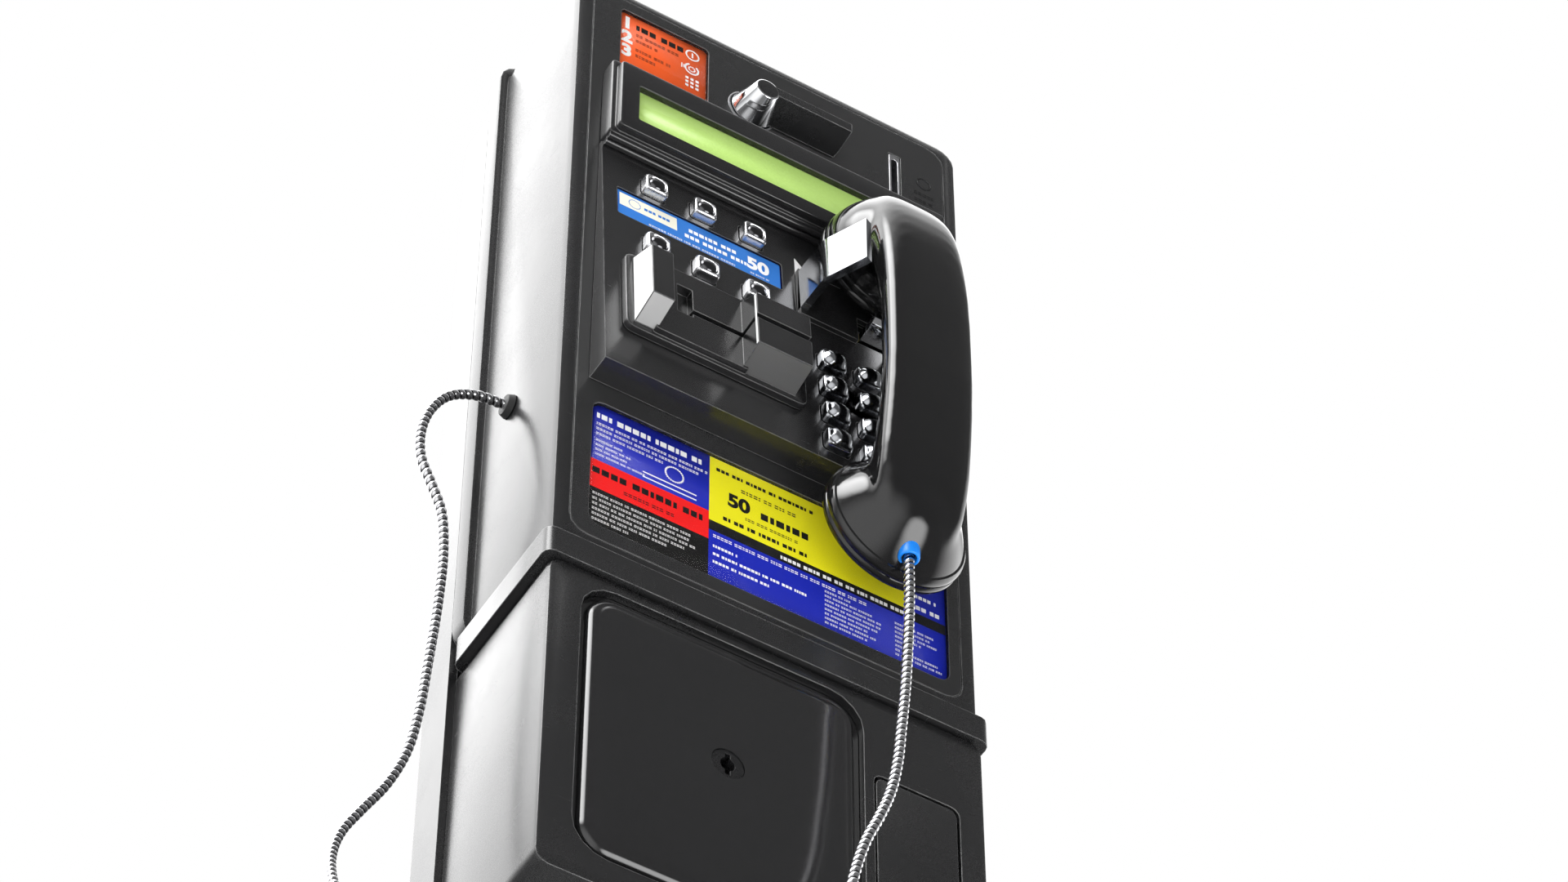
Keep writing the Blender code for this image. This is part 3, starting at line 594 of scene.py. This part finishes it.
HANDLE_SECTIONS = [  # height, outer and inner depth, half width
    (45.0, -32, -26, 12), (50, -36.5, -24, 16.5), (58, -41.5, -22, 19.4), (68, -44.8, -23, 20),
    (80, -47, -28.5, 20), (94, -48.8, -33.2, 19.7), (110, -50.5, -36.2, 19.5),
    (130, -51.8, -38, 19.4), (150, -52, -38.2, 19.4), (168, -52, -37.2, 19.5),
    (184, -51.6, -34.5, 19.7), (196, -50.9, -30.5, 19.9), (206, -50, -26, 20.1),
    (216, -48.6, -22.5, 20.2), (225, -46.8, -20.5, 20), (233, -44.6, -20, 19.2),
    (240, -41.8, -20.5, 17.6), (245, -38.8, -21.5, 15), (248.4, -35.4, -23.5, 11.4),
    (250.3, -32.4, -26, 6.5),
]
SECTION_POWER = 3.3  # how square a section of the handle is
SMOOTHED_AWAY = 0.7  # half width that the smoothing takes
VOXEL = 0.0012  # metres
SECTION_SIDES = 48


def build_handset():
    """The shell, blended into one smooth moulding, then its collars, caps and cord sleeve."""
    rings = []
    for height, outer, inner, half in HANDLE_SECTIONS:
        ring = []
        for k in range(SECTION_SIDES):
            c, n = superellipse(2 * math.pi * k / SECTION_SIDES, SECTION_POWER)
            depth = (outer + inner) / 2 + n * (inner - outer) / 2
            ring.append(at(HANDSET_ACROSS + c * (half + SMOOTHED_AWAY), depth, height))
        rings.append(ring)
    whole = bpy.data.meshes.new("handset_parts")
    merged = bmesh.new()
    for bm in (
        loft(rings),
        turned((HANDSET_ACROSS, EAR_HEIGHT), EAR_PROFILE),
        turned((HANDSET_ACROSS, MOUTH_HEIGHT), MOUTH_PROFILE),
    ):
        bmesh.ops.recalc_face_normals(bm, faces=bm.faces)
        part = bpy.data.meshes.new("part")
        bm.to_mesh(part)
        bm.free()
        merged.from_mesh(part)
    merged.to_mesh(whole)
    merged.free()
    shell = place_piece(
        "handset_body", whole, LOOKS["gloss_black"], "handset", ["handset_shell"],
    )
    remesh = shell.modifiers.new("remesh", "REMESH")
    remesh.mode = "VOXEL"
    remesh.voxel_size = VOXEL
    smooth = shell.modifiers.new("smooth", "SMOOTH")
    smooth.factor, smooth.iterations = 0.5, 26
    bake(shell)
    shell.data.shade_smooth()
    for name, height in (("ear", EAR_HEIGHT), ("mouth", MOUTH_HEIGHT)):
        place = (HANDSET_ACROSS, height)
        add_piece(
            f"{name}_collar", turned(place, COLLAR_PROFILE), LOOKS["gloss_black"], "handset",
        )
        cap = add_piece(
            f"{name}_cap_piece", turned(place, CAP_PROFILE), LOOKS["gloss_black"], "handset",
            [f"{name}piece_cap"],
        )
        pierce(cap, place)
    rings = []
    for height, radius in SLEEVE_PROFILE:
        turns = [2 * math.pi * k / SLEEVE_SIDES for k in range(SLEEVE_SIDES)]
        rings.append([
            at(HANDSET_ACROSS + radius * math.cos(t), SLEEVE_DEPTH + radius * math.sin(t), height)
            for t in turns
        ])
    add_piece(
        "cord_sleeve", loft(rings), LOOKS["blue_plastic"], "handset",
        ["cord_ferrule"],
    )


def pierce(cap, place):
    """Cuts a ring pattern of sound holes through the cap's face."""
    holes = bmesh.new()
    for count, radius in HOLE_RINGS:
        for k in range(count):
            turn = 2 * math.pi * k / count
            made = bmesh.ops.create_cone(
                holes, cap_ends=True, segments=12, radius1=HOLE_RADIUS * MM,
                radius2=HOLE_RADIUS * MM, depth=6 * MM,
            )
            centre = at(place[0] + radius * math.cos(turn), -14, place[1] + radius * math.sin(turn))
            matrix = Matrix.Translation(centre) @ Matrix.Rotation(math.radians(90), 4, "X")
            bmesh.ops.transform(holes, matrix=matrix, verts=made["verts"])
    cut_away(cap, holes)


build_handset()


# ---------------------------------------------------------------- keys

CONSOLE_FOOT, CONSOLE_FOOT_DEPTH = 93.5, -12.8
CONSOLE_SLOPE = 10.8 / 148.5
KEY_COLUMNS = (23.4, 40.6, 57.8)
KEY_ROWS = (157.4, 140.0, 122.7, 105.3)
BUTTON_COLUMNS = (-58.3, -35.2, -11.5)
BUTTON_ROWS = (222.5, 181.5)
READER_HEIGHT = 141.5
KEY_SIDES = 40


def on_face(across, out, up, height):
    """A place near the console's sloping face: out of it and up along it, from a point on it."""
    tilt = math.atan(CONSOLE_SLOPE)
    foot = CONSOLE_FOOT_DEPTH + CONSOLE_SLOPE * (height - CONSOLE_FOOT)
    depth = foot - out * math.cos(tilt) + up * math.sin(tilt)
    return at(across, depth, height + out * math.sin(tilt) + up * math.cos(tilt))


def add_cap(name, body, place, half, steps, look, replaces=()):
    """A key's form on the console, from steps of share of its half size, how proud, and power."""
    rings = []
    for share, out, power in steps:
        ring = []
        for k in range(KEY_SIDES):
            c, n = superellipse(2 * math.pi * (k + 0.5) / KEY_SIDES, power)
            x, up = c * half[0] * share, n * half[1] * share
            ring.append(on_face(place[0] + x, out, up, place[1]))
        rings.append(ring)
    piece = add_piece(name, loft(rings), look, body, replaces)
    piece.data.set_sharp_from_angle(angle=math.radians(75))


def build_button(name, place):
    """A square plated frame with a round edge, and in it a smoked dome."""
    half, proud = (5.5, 5.25), 4.8
    frame_steps = [
        (1.0, -3.4, 7), (1.0, proud - 2.0, 7), (0.97, proud - 1.1, 6.5), (0.91, proud - 0.5, 6),
        (0.85, proud - 0.25, 5), (0.8, proud - 0.25, 4.2), (0.76, proud - 0.5, 3.4),
        (0.74, proud - 1.2, 2.9), (0.5, proud - 1.3, 2.4), (0.05, proud - 1.3, 2),
    ]
    dome_steps = [
        (0.5, proud - 1.6, 2.3), (0.72, proud - 1.25, 2.4), (0.71, proud - 0.9, 2.3),
        (0.64, proud - 0.3, 2.15), (0.53, proud + 0.15, 2.1), (0.39, proud + 0.48, 2),
        (0.22, proud + 0.68, 2), (0.05, proud + 0.74, 2),
    ]
    add_cap(f"{name}_cap", name, place, half, frame_steps, BUTTON_PLATE, [name])
    add_cap(f"{name}_dome", name, place, half, dome_steps, SMOKED)


def build_key(name, place):
    """A moulded key with a broad plated dome."""
    half, proud = (6.0, 5.25), 6.0
    steps = [
        (1.0, -3.4, 6), (1.0, proud - 3.4, 6), (0.97, proud - 2.5, 5.5), (0.92, proud - 2.0, 4.5),
        (0.88, proud - 2.0, 3.6), (0.85, proud - 1.7, 3), (0.78, proud - 0.9, 2.6),
        (0.67, proud - 0.15, 2.4), (0.52, proud + 0.35, 2.2), (0.34, proud + 0.64, 2.1),
        (0.18, proud + 0.76, 2), (0.04, proud + 0.8, 2),
    ]
    look = LOOKS["dark_chrome"]
    add_cap(f"{name}_cap", name, place, half, steps, look, [name])


for row, height in enumerate(KEY_ROWS):
    for column, across in enumerate(KEY_COLUMNS):
        build_key(f"key_{3 * row + column + 1:02d}", (across, height))
for row, height in enumerate(BUTTON_ROWS):
    for column, across in enumerate(BUTTON_COLUMNS):
        build_button(f"quick_button_{3 * row + column + 1}", (across, height))


# ---------------------------------------------------------------- cradle and coin lever


CRADLE_LEFT, CRADLE_RIGHT = 9.4, 81.9
CRADLE_MIDDLE = 197.5  # height of the base's middle
PRONG_FOOT, PRONG_HEAD = 186.0, 211.0
PRONG_THICKNESS = 3.5
PRONG_BEND = [  # depth, and how far the left prong's outer face has come inwards there
    (-6.6, 0.0), (-15, 0.0), (-23, 0.0), (-26, 0.25), (-28.5, 1.1), (-31, 2.3), (-35, 4.2),
    (-39, 6.1), (-43, 8.0), (-45.1, 8.9),
]


def build_cradle():
    """The base plate, the long curled prong on the left and the short one on the right."""
    shape = [
        (CRADLE_LEFT, -15.5), (37, -15.5), (37, -0.5), (55, -0.5), (55, -15.5),
        (CRADLE_RIGHT, -15.5), (CRADLE_RIGHT, 15.5), (CRADLE_LEFT, 15.5),
    ]
    base = loft([[on_face(x, out, up, CRADLE_MIDDLE) for x, up in shape] for out in (2.6, 0.3)])
    add_piece(
        "cradle_base", base, LOOKS["console_plastic"], "housing", ["cradle"],
    )
    rings = []
    for k, (d, x) in enumerate(PRONG_BEND):
        a, b = PRONG_BEND[max(k - 1, 0)], PRONG_BEND[min(k + 1, len(PRONG_BEND) - 1)]
        along = Vector((b[1] - a[1], b[0] - a[0])).normalized()
        outer = (CRADLE_LEFT + x, d)
        inner = (CRADLE_LEFT + (x - along.y * PRONG_THICKNESS), d + along.x * PRONG_THICKNESS)
        rings.append([
            at(*outer, PRONG_FOOT), at(*outer, PRONG_HEAD), at(*inner, PRONG_HEAD),
            at(*inner, PRONG_FOOT),
        ])
    add_piece("cradle_left_prong", loft(rings), LOOKS["dark_chrome"], "housing")
    box = (CRADLE_RIGHT - PRONG_THICKNESS, CRADLE_RIGHT, PRONG_FOOT, PRONG_HEAD)
    right = slab(box, (-19.5, -6.6))
    add_piece("cradle_right_prong", right, LOOKS["dark_chrome"], "housing")


COIN_LEVER_CENTRE = (-9.7, 314.0)
HUB_PROFILE = [  # depth, radius
    (14, 4.0), (-0.5, 4.0), (-0.6, 9.9), (-0.9, 10.0), (-1.4, 9.85), (-7.5, 7.75), (-13.7, 5.8),
    (-14.05, 5.62), (-14.15, 5.3), (-14.15, 3.0), (-14.15, 1.0),
]
BAR_SECTIONS = [  # depth, then the left, right, lower and upper edge there
    (-14.15, (-6.0, 32.2, 312.8, 317.9)), (-9.5, (-6.0, 31.9, 311.2, 318.6)),
    (-4.5, (-6.0, 31.6, 309.7, 319.3)), (-0.6, (-6.0, 31.1, 309.0, 319.9)),
]


def build_coin_lever():
    """A tapered hub with a flat face, a bar that slopes back underneath, and a ring behind."""
    hub = turned(COIN_LEVER_CENTRE, HUB_PROFILE)
    piece = add_piece(
        "coin_lever_hub", hub, LOOKS["chrome"], "coin_lever", ["coin_lever"],
    )
    piece.data.set_sharp_from_angle(angle=math.radians(50))
    face = turned(COIN_LEVER_CENTRE, [(-13.4, 5.2), (-14.16, 5.2), (-14.19, 5.0), (-14.19, 2.0)])
    add_piece("coin_lever_face", face, LOOKS["console_plastic"], "coin_lever")
    bar = loft([[at(x, d, h) for x, h in corners_of(box)] for d, box in BAR_SECTIONS])
    add_piece(
        "coin_lever_bar", bar, LOOKS["black_paint"], "coin_lever",
    )
    rim = [(0.0, 11.4), (-0.3, 11.3), (-0.42, 11.0), (-0.42, 10.6), (0.0, 10.4)]
    ring = turned(COIN_LEVER_CENTRE, rim)
    add_piece("coin_lever_ring", ring, LOOKS["steel"], "housing")


CHEEKS = [  # name, place across, thickness, and outline as (how proud, up from the middle)
    ("left", -70.62, 0.2, [(3.7, -20.5), (17.7, -18.2), (17.7, 12.7), (4.2, 20.7)]),
    ("right", -22.34, 0.12, [(16.4, -18.5), (17.5, -18.5), (17.5, 13.9), (16.4, 13.9)]),
]
CHINS = [  # name, its two ends, how proud, and its height there
    ("left", (-70.1, -61.0), 17.9, -18.62), ("right", (-21.9, 2.7), 17.7, -18.92),
]
CHIN_BACK = 3.9  # how proud of the console a chin's back edge is
CHIN_THICKNESS = 0.12
CHIN_SLOPE = 3 / 17.2


def build_reader_cheeks():
    """Plates of painted light on the card reader's guide blocks: a near-white painted reflection on
    their left faces, and under them a painted grey sheen, lighter under the left block and darker
    under the right.
    """
    for name, across, thick, outline in CHEEKS:
        cheek = loft([
            [on_face(x, out, up, READER_HEIGHT) for out, up in outline]
            for x in (across, across + thick)
        ])
        add_piece(f"reader_cheek_{name}", cheek, GUIDE_FACE_PAINTED_REFLECTION, "housing")
    for name, ends, proud, foot in CHINS:
        back = foot - (proud - CHIN_BACK) * CHIN_SLOPE
        outline = [
            (CHIN_BACK, back), (CHIN_BACK, back - CHIN_THICKNESS), (proud, foot - CHIN_THICKNESS),
            (proud, foot),
        ]
        chin = loft([[on_face(x, out, up, READER_HEIGHT) for out, up in outline] for x in ends])
        add_piece(f"reader_chin_{name}", chin, GUIDE_UNDERSIDE_PAINTED_LIGHT[name], "housing")


build_cradle()
build_coin_lever()
build_reader_cheeks()


# ---------------------------------------------------------------- vault door and bezel beads


DOOR_BOX = (-78.3, 38.3, -157.5, -25.5)
DOOR_CORNER = 12.5
DOOR_STEPS = [  # how far in from the edge, and the depth there
    (-2.7, 5.0), (-2.7, 2.6), (0, 2.6), (0.05, 2.1), (0.3, 1.35), (0.8, 0.6), (1.45, -0.05),
    (2.2, -0.6), (3.0, -0.92), (3.6, -0.95), (4.1, -0.85), (4.6, -0.95), (5.2, -1.28),
    (6.0, -1.52), (7.4, -1.6),
]
LOCK_PLACE, LOCK_HOLE_RADIUS = (-18.1, -87.0), 7.15
BEADS = [  # name, depth, height, radius
    ("upper", -6.2, 242.5, 1.5), ("lower", -3.2, 241.6, 1.7),
]


def build_vault_door():
    """The door's pillowed front: a rolled edge, a fine valley and a second roll to the flat."""
    rings = [rounded_ring(DOOR_BOX, inset, DOOR_CORNER, depth) for inset, depth in DOOR_STEPS]
    door = add_piece(
        "vault_door_panel", loft(rings), VAULT_ENAMEL, "vault_door",
        ["vault_door"],
    )
    hole = turned(LOCK_PLACE, [(-5, LOCK_HOLE_RADIUS), (12, LOCK_HOLE_RADIUS)], sides=48)
    bmesh.ops.recalc_face_normals(hole, faces=hole.faces)
    cut_away(door, hole)
    door.data.set_sharp_from_angle(angle=math.radians(60))


def build_bezel_beads():
    """Two half-round beads under the display bezel."""
    for name, depth, height, radius in BEADS:
        turns = np.linspace(0, 2 * math.pi, 20, endpoint=False)
        rings = [
            [at(x, depth + radius * math.cos(t), height + radius * math.sin(t)) for t in turns]
            for x in (-81.2, -80.8, 80.8, 81.2)
        ]
        add_piece(
            f"bezel_bead_{name}", loft(rings), LOOKS["console_plastic"], "housing",
        )


build_vault_door()
build_bezel_beads()


# ---------------------------------------------------------------- printed cards

CARD_FRONT = 1.4
LAYER = 0.04  # each layer of print stands this far in front of the last
RATE_HEIGHT = 205.5  # of the rate card's middle


def flat_mesh(boxes, depth):
    """Thin raised rectangles, x0, x1, h0, h1, at that depth: a front face and a back one."""
    bm = bmesh.new()
    for box in boxes:
        bm.faces.new([bm.verts.new(at(x, depth, h)) for x, h in corners_of(box)])
        back = [bm.verts.new(at(x, depth + LAYER * 0.8, h)) for x, h in corners_of(box)]
        bm.faces.new(list(reversed(back)))
    return bm


def print_boxes(name, color, boxes, layer, sloped=None):
    bm = flat_mesh(boxes, CARD_FRONT - LAYER * layer)
    if sloped is not None:
        bmesh.ops.transform(bm, matrix=sloped_matrix(layer, sloped), verts=bm.verts)
    return add_piece(name, bm, PRINT[color], "housing")


def dummy_line(x, height, size, length, seed, bold=False):
    """Bars in the rhythm of a line of print, which spell nothing."""
    draw = random.Random(seed)
    found, end = [], x + length
    while x < end:
        for _ in range(draw.randint(2, 7)):
            width = size * draw.choice((0.3, 0.5, 0.55, 0.6))
            if x + width > end:
                return found
            if bold:
                found.append((x, x + width, height, height + size * 0.62))
            else:
                found.append((x, x + width, height, height + size * 0.2))
                found.append((x, x + width, height + size * 0.4, height + size * 0.6))
            x += width + size * 0.16
        x += size * 0.34
    return found


def sloped_matrix(layer, height):
    """From the upright cards' plane to that height on the console's sloping face."""
    tilt = Matrix.Rotation(-math.atan(CONSOLE_SLOPE), 4, "X")
    foot = on_face(0, -0.8 + LAYER * layer, 0, height)
    upright = at(0, CARD_FRONT - LAYER * layer, 0)
    return Matrix.Translation(foot) @ tilt @ Matrix.Translation(-upright)


def numerals(name, text, x, height, size, color, layer, sloped=None):
    """Plain figures, as on a dial, standing on the card."""
    curve = bpy.data.curves.new(name, "FONT")
    curve.body = text
    curve.size = size * MM
    curve.extrude = LAYER * 0.4 * MM
    curve.offset = 0.045 * size * MM
    obj = bpy.data.objects.new(name, curve)
    bpy.context.scene.collection.objects.link(obj)
    bpy.context.view_layer.update()
    graph = bpy.context.evaluated_depsgraph_get()
    mesh = bpy.data.meshes.new_from_object(obj.evaluated_get(graph))
    bpy.data.objects.remove(obj)
    place = Matrix.Translation(at(x, CARD_FRONT - LAYER * layer, height))
    mesh.transform(place @ Matrix.Rotation(math.radians(90), 4, "X"))
    if sloped is not None:
        mesh.transform(sloped_matrix(layer, sloped))
    return place_piece(name, mesh, PRINT[color], "housing")


def arcs(centre, radius, width, start, end, count):
    """A curved stroke made of small square blocks, for simple symbols."""
    found = []
    for k in range(count):
        turn = math.radians(start + (end - start) * k / (count - 1))
        x, h = centre[0] + radius * math.cos(turn), centre[1] + radius * math.sin(turn)
        found.append((x - width / 2, x + width / 2, h - width / 2, h + width / 2))
    return found


def build_info_card():
    split, right, top, foot = -26.3, 81.6, 82.1, 12.4
    dark = [(-79.1, split, foot, 34.0), (split, right, 39.8, 45.3)]
    print_boxes("info_black", "black", dark, 1)
    print_boxes("info_red", "red", [(-79.1, split, 34.0, 50.0)], 1)
    print_boxes("info_yellow", "yellow", [(split, 66.0, 45.3, top)], 1)
    white = dummy_line(-77, 74.5, 4.6, 49, 1, True)
    for k in range(3):
        white += dummy_line(-77, 70.6 - 2.9 * k, 2.0, (50, 47, 30)[k], 10 + k)
    for k in range(4):
        white += dummy_line(-77, 61.0 - 2.7 * k, 1.7, (13, 16, 14, 22)[k], 20 + k)
    white += arcs((-42, 61.5), 4.0, 0.8, 0, 345, 26)
    white += [(-56, -32, 54.9, 55.6), (-56, -32, 52.2, 52.9)]
    for k in range(6):
        white += dummy_line(-77.5, 30.2 - 2.9 * k, 1.9, (44, 43, 46, 41, 33, 17)[k], 30 + k)
    white += dummy_line(6, 41.2, 3.0, 58, 40, True)
    white += dummy_line(split + 2, 36.2, 2.5, 70, 41)
    for k in range(3):
        white += dummy_line(split + 2, 30.4 - 4.4 * k, 2.3, (12, 42, 26)[k], 42 + k, True)
    for k in range(8):
        white += dummy_line(26, 33.6 - 2.5 * k, 1.6, (12, 22, 26, 26, 24, 20, 24, 20)[k], 50 + k)
        white += dummy_line(58, 33.6 - 2.5 * k, 1.6, (18, 16, 20, 12, 4, 6, 20, 22)[k], 60 + k)
    white += dummy_line(68, 47.5, 3.6, 12, 70, True) + dummy_line(68, 54, 3.0, 10, 71, True)
    print_boxes("info_lines_white", "white", white, 2)
    black = dummy_line(-78, 42.4, 5.4, 49, 80, True) + dummy_line(-64, 37.0, 2.8, 24, 81)
    black += dummy_line(split + 3, 75.2, 2.9, 46, 82, True) + dummy_line(-12, 68.8, 3.0, 26, 83)
    black += dummy_line(-3, 58.6, 6.0, 24, 84, True) + dummy_line(-10, 54.0, 2.4, 24, 85)
    numerals("info_price", "50", -18, 58.4, 10.0, "black", 2)
    black += dummy_line(-20, 48.4, 3.3, 40, 86, True)
    print_boxes("info_lines_black", "black", black, 2)


def build_instruction_card():
    for k, text in enumerate("123"):
        numerals(f"figure_{text}", text, -73.0, (332.6, 322.8, 313.2)[k], 10.6, "white", 1)
    black = dummy_line(-66, 334.0, 5.4, 25, 90, True)
    for k in range(4):
        black += dummy_line(-66, (329.6, 325.6, 319.2, 315.2)[k], 2.7, (23, 11, 18, 12)[k], 91 + k)
    print_boxes("instruction_lines", "black", black, 1)
    white = arcs((-38.2, 335.2), 3.1, 0.8, 0, 340, 22) + [(-38.6, -37.8, 333.6, 336.8)]
    white += arcs((-38.4, 325.4), 3.2, 0.9, 120, 400, 20) + arcs((-38.4, 325.4), 1.5, 0.7, 0, 330, 10)
    white += [(-43.6, -43.1, 323.8, 327), (-42.6, -42.1, 324.3, 326.5)]
    white += [(x, x + 1.5, h, h + 1.5) for x in (-41.4, -38.9, -36.4) for h in (312.4, 315.0, 317.6)]
    print_boxes("instruction_symbols", "white", white, 1)


def build_rate_card():
    print_boxes("rate_field", "sky", [(-74.4, 2.4, -8.5, 8.5)], 1, RATE_HEIGHT)
    print_boxes("rate_label", "cream", [(-73.6, -46.6, -1.4, 7.0)], 2, RATE_HEIGHT)
    lines = arcs((-66.5, 2.8), 2.7, 0.45, 0, 340, 26) + dummy_line(-62, 1.9, 2.6, 13, 100, True)
    print_boxes("rate_label_lines", "sky", lines, 3, RATE_HEIGHT)
    white = dummy_line(-41, 1.6, 3.6, 24, 101, True) + dummy_line(-43, -2.9, 3.6, 30, 102, True)
    white += dummy_line(-60, -7.2, 1.8, 42, 103) + dummy_line(-12, -6.6, 1.5, 9, 104)
    numerals("rate_price", "50", -13.5, -3.0, 10.5, "white", 3, RATE_HEIGHT)
    print_boxes("rate_lines", "white", white, 3, RATE_HEIGHT)


def build_marker():
    """The white pointer on the console beside the cradle."""
    corners = [(9.5, 223.0), (9.5, 211.7), (14.3, 217.4)]
    marker = loft([[on_face(x, out, 0, h) for x, h in corners] for out in (0.05, 0.22)])
    add_piece("pointer_mark", marker, PRINT["white"], "housing")


def build_coin_marks():
    """Shallow raised marks beside the coin slot."""
    marks = arcs((77.5, 322), 3.4, 0.7, 0, 345, 30)
    for k in range(3):
        marks += dummy_line(72.5, 313.2 - 4.6 * k, 3.0, 11, 110 + k)
    bm = flat_mesh(marks, -0.12)
    add_piece("coin_marks", bm, LOOKS["console_plastic"], "housing")


build_info_card()
build_instruction_card()
build_rate_card()
build_marker()
build_coin_marks()


# ---------------------------------------------------------------- light and floor

LOBES = [  # direction, where it begins and is full (as cosines), and strength of each bright side
    ((-0.35, 0.45, 0.82), 0.45, 0.97, 4.3),
    ((-0.56, -0.34, 0.757), 0.93, 0.99, 9.0),
    ((0.3, -0.76, -0.58), 0.92, 0.99, 6.0),
    ((-0.74, -0.58, -0.3), 0.6, 0.96, 1.2),
    ((0.93, 0.3, 0.15), 0.72, 0.98, 2.5),
]
SKY = 0.2
FLOOR_HEIGHT = -4.9  # metres, well below the camera


def build_world():
    """A white backdrop, and for everything but the camera a dim sky with broad bright sides."""
    world = bpy.data.worlds.new("studio")
    bpy.context.scene.world = world
    world.use_nodes = True
    tree = world.node_tree
    tree.nodes.clear()
    place = add_node(tree, "ShaderNodeTexCoord").outputs["Generated"]
    total = None
    for direction, begin, full, strength in LOBES:
        dot = add_node(tree, "ShaderNodeVectorMath", operation="DOT_PRODUCT")
        tree.links.new(place, dot.inputs[0])
        dot.inputs[1].default_value = Vector(direction).normalized()
        lobe = add_node(tree, "ShaderNodeMapRange", interpolation_type="SMOOTHSTEP")
        set_range(lobe, begin, full, 0.0, strength)
        tree.links.new(dot.outputs["Value"], lobe.inputs["Value"])
        more = add_node(tree, "ShaderNodeMath", operation="ADD")
        more.inputs[0].default_value = SKY
        if total:
            tree.links.new(total, more.inputs[0])
        tree.links.new(lobe.outputs["Result"], more.inputs[1])
        total = more.outputs["Value"]
    dim = add_node(tree, "ShaderNodeBackground")
    dim.inputs["Color"].default_value = (1.0, 1.0, 1.0, 1.0)
    tree.links.new(total, dim.inputs["Strength"])
    white = add_node(tree, "ShaderNodeBackground")
    white.inputs["Color"].default_value = (1.0, 1.0, 1.0, 1.0)
    mix = add_node(tree, "ShaderNodeMixShader")
    seen = add_node(tree, "ShaderNodeLightPath").outputs["Is Camera Ray"]
    tree.links.new(seen, mix.inputs["Fac"])
    tree.links.new(dim.outputs["Background"], mix.inputs[1])
    tree.links.new(white.outputs["Background"], mix.inputs[2])
    output = add_node(tree, "ShaderNodeOutputWorld")
    tree.links.new(mix.outputs["Shader"], output.inputs["Surface"])


def build_bounce_light():
    """A soft light from below; it doesn't show in reflections, where its outline would be hard."""
    bounce = bpy.data.lights.new("bounce", "AREA")
    bounce.shape, bounce.size, bounce.size_y = "RECTANGLE", 4.6, 3.6
    bounce.energy = 40.0
    obj = bpy.data.objects.new("bounce", bounce)
    obj.location = (1.3, 0.5, -2.6)
    obj.rotation_euler = (math.pi, 0, 0)
    obj.visible_camera = False
    obj.visible_glossy = False
    bpy.context.scene.collection.objects.link(obj)


def build_floor():
    bm = bmesh.new()
    bmesh.ops.create_grid(bm, x_segments=8, y_segments=8, size=30)
    mesh = bpy.data.meshes.new("floor")
    bm.to_mesh(mesh)
    bm.free()
    floor = bpy.data.objects.new("floor", mesh)
    floor.location = (0, 0, FLOOR_HEIGHT)
    paper = surface("floor_paper", (0.86, 0.86, 0.86), 0.8, grain=(40, 0.02), mottle=0.01)
    mesh.materials.append(paper)
    bpy.context.scene.collection.objects.link(floor)
    floor.visible_glossy = False


build_world()
build_bounce_light()
build_floor()
bpy.context.scene.view_settings.view_transform = "Standard"
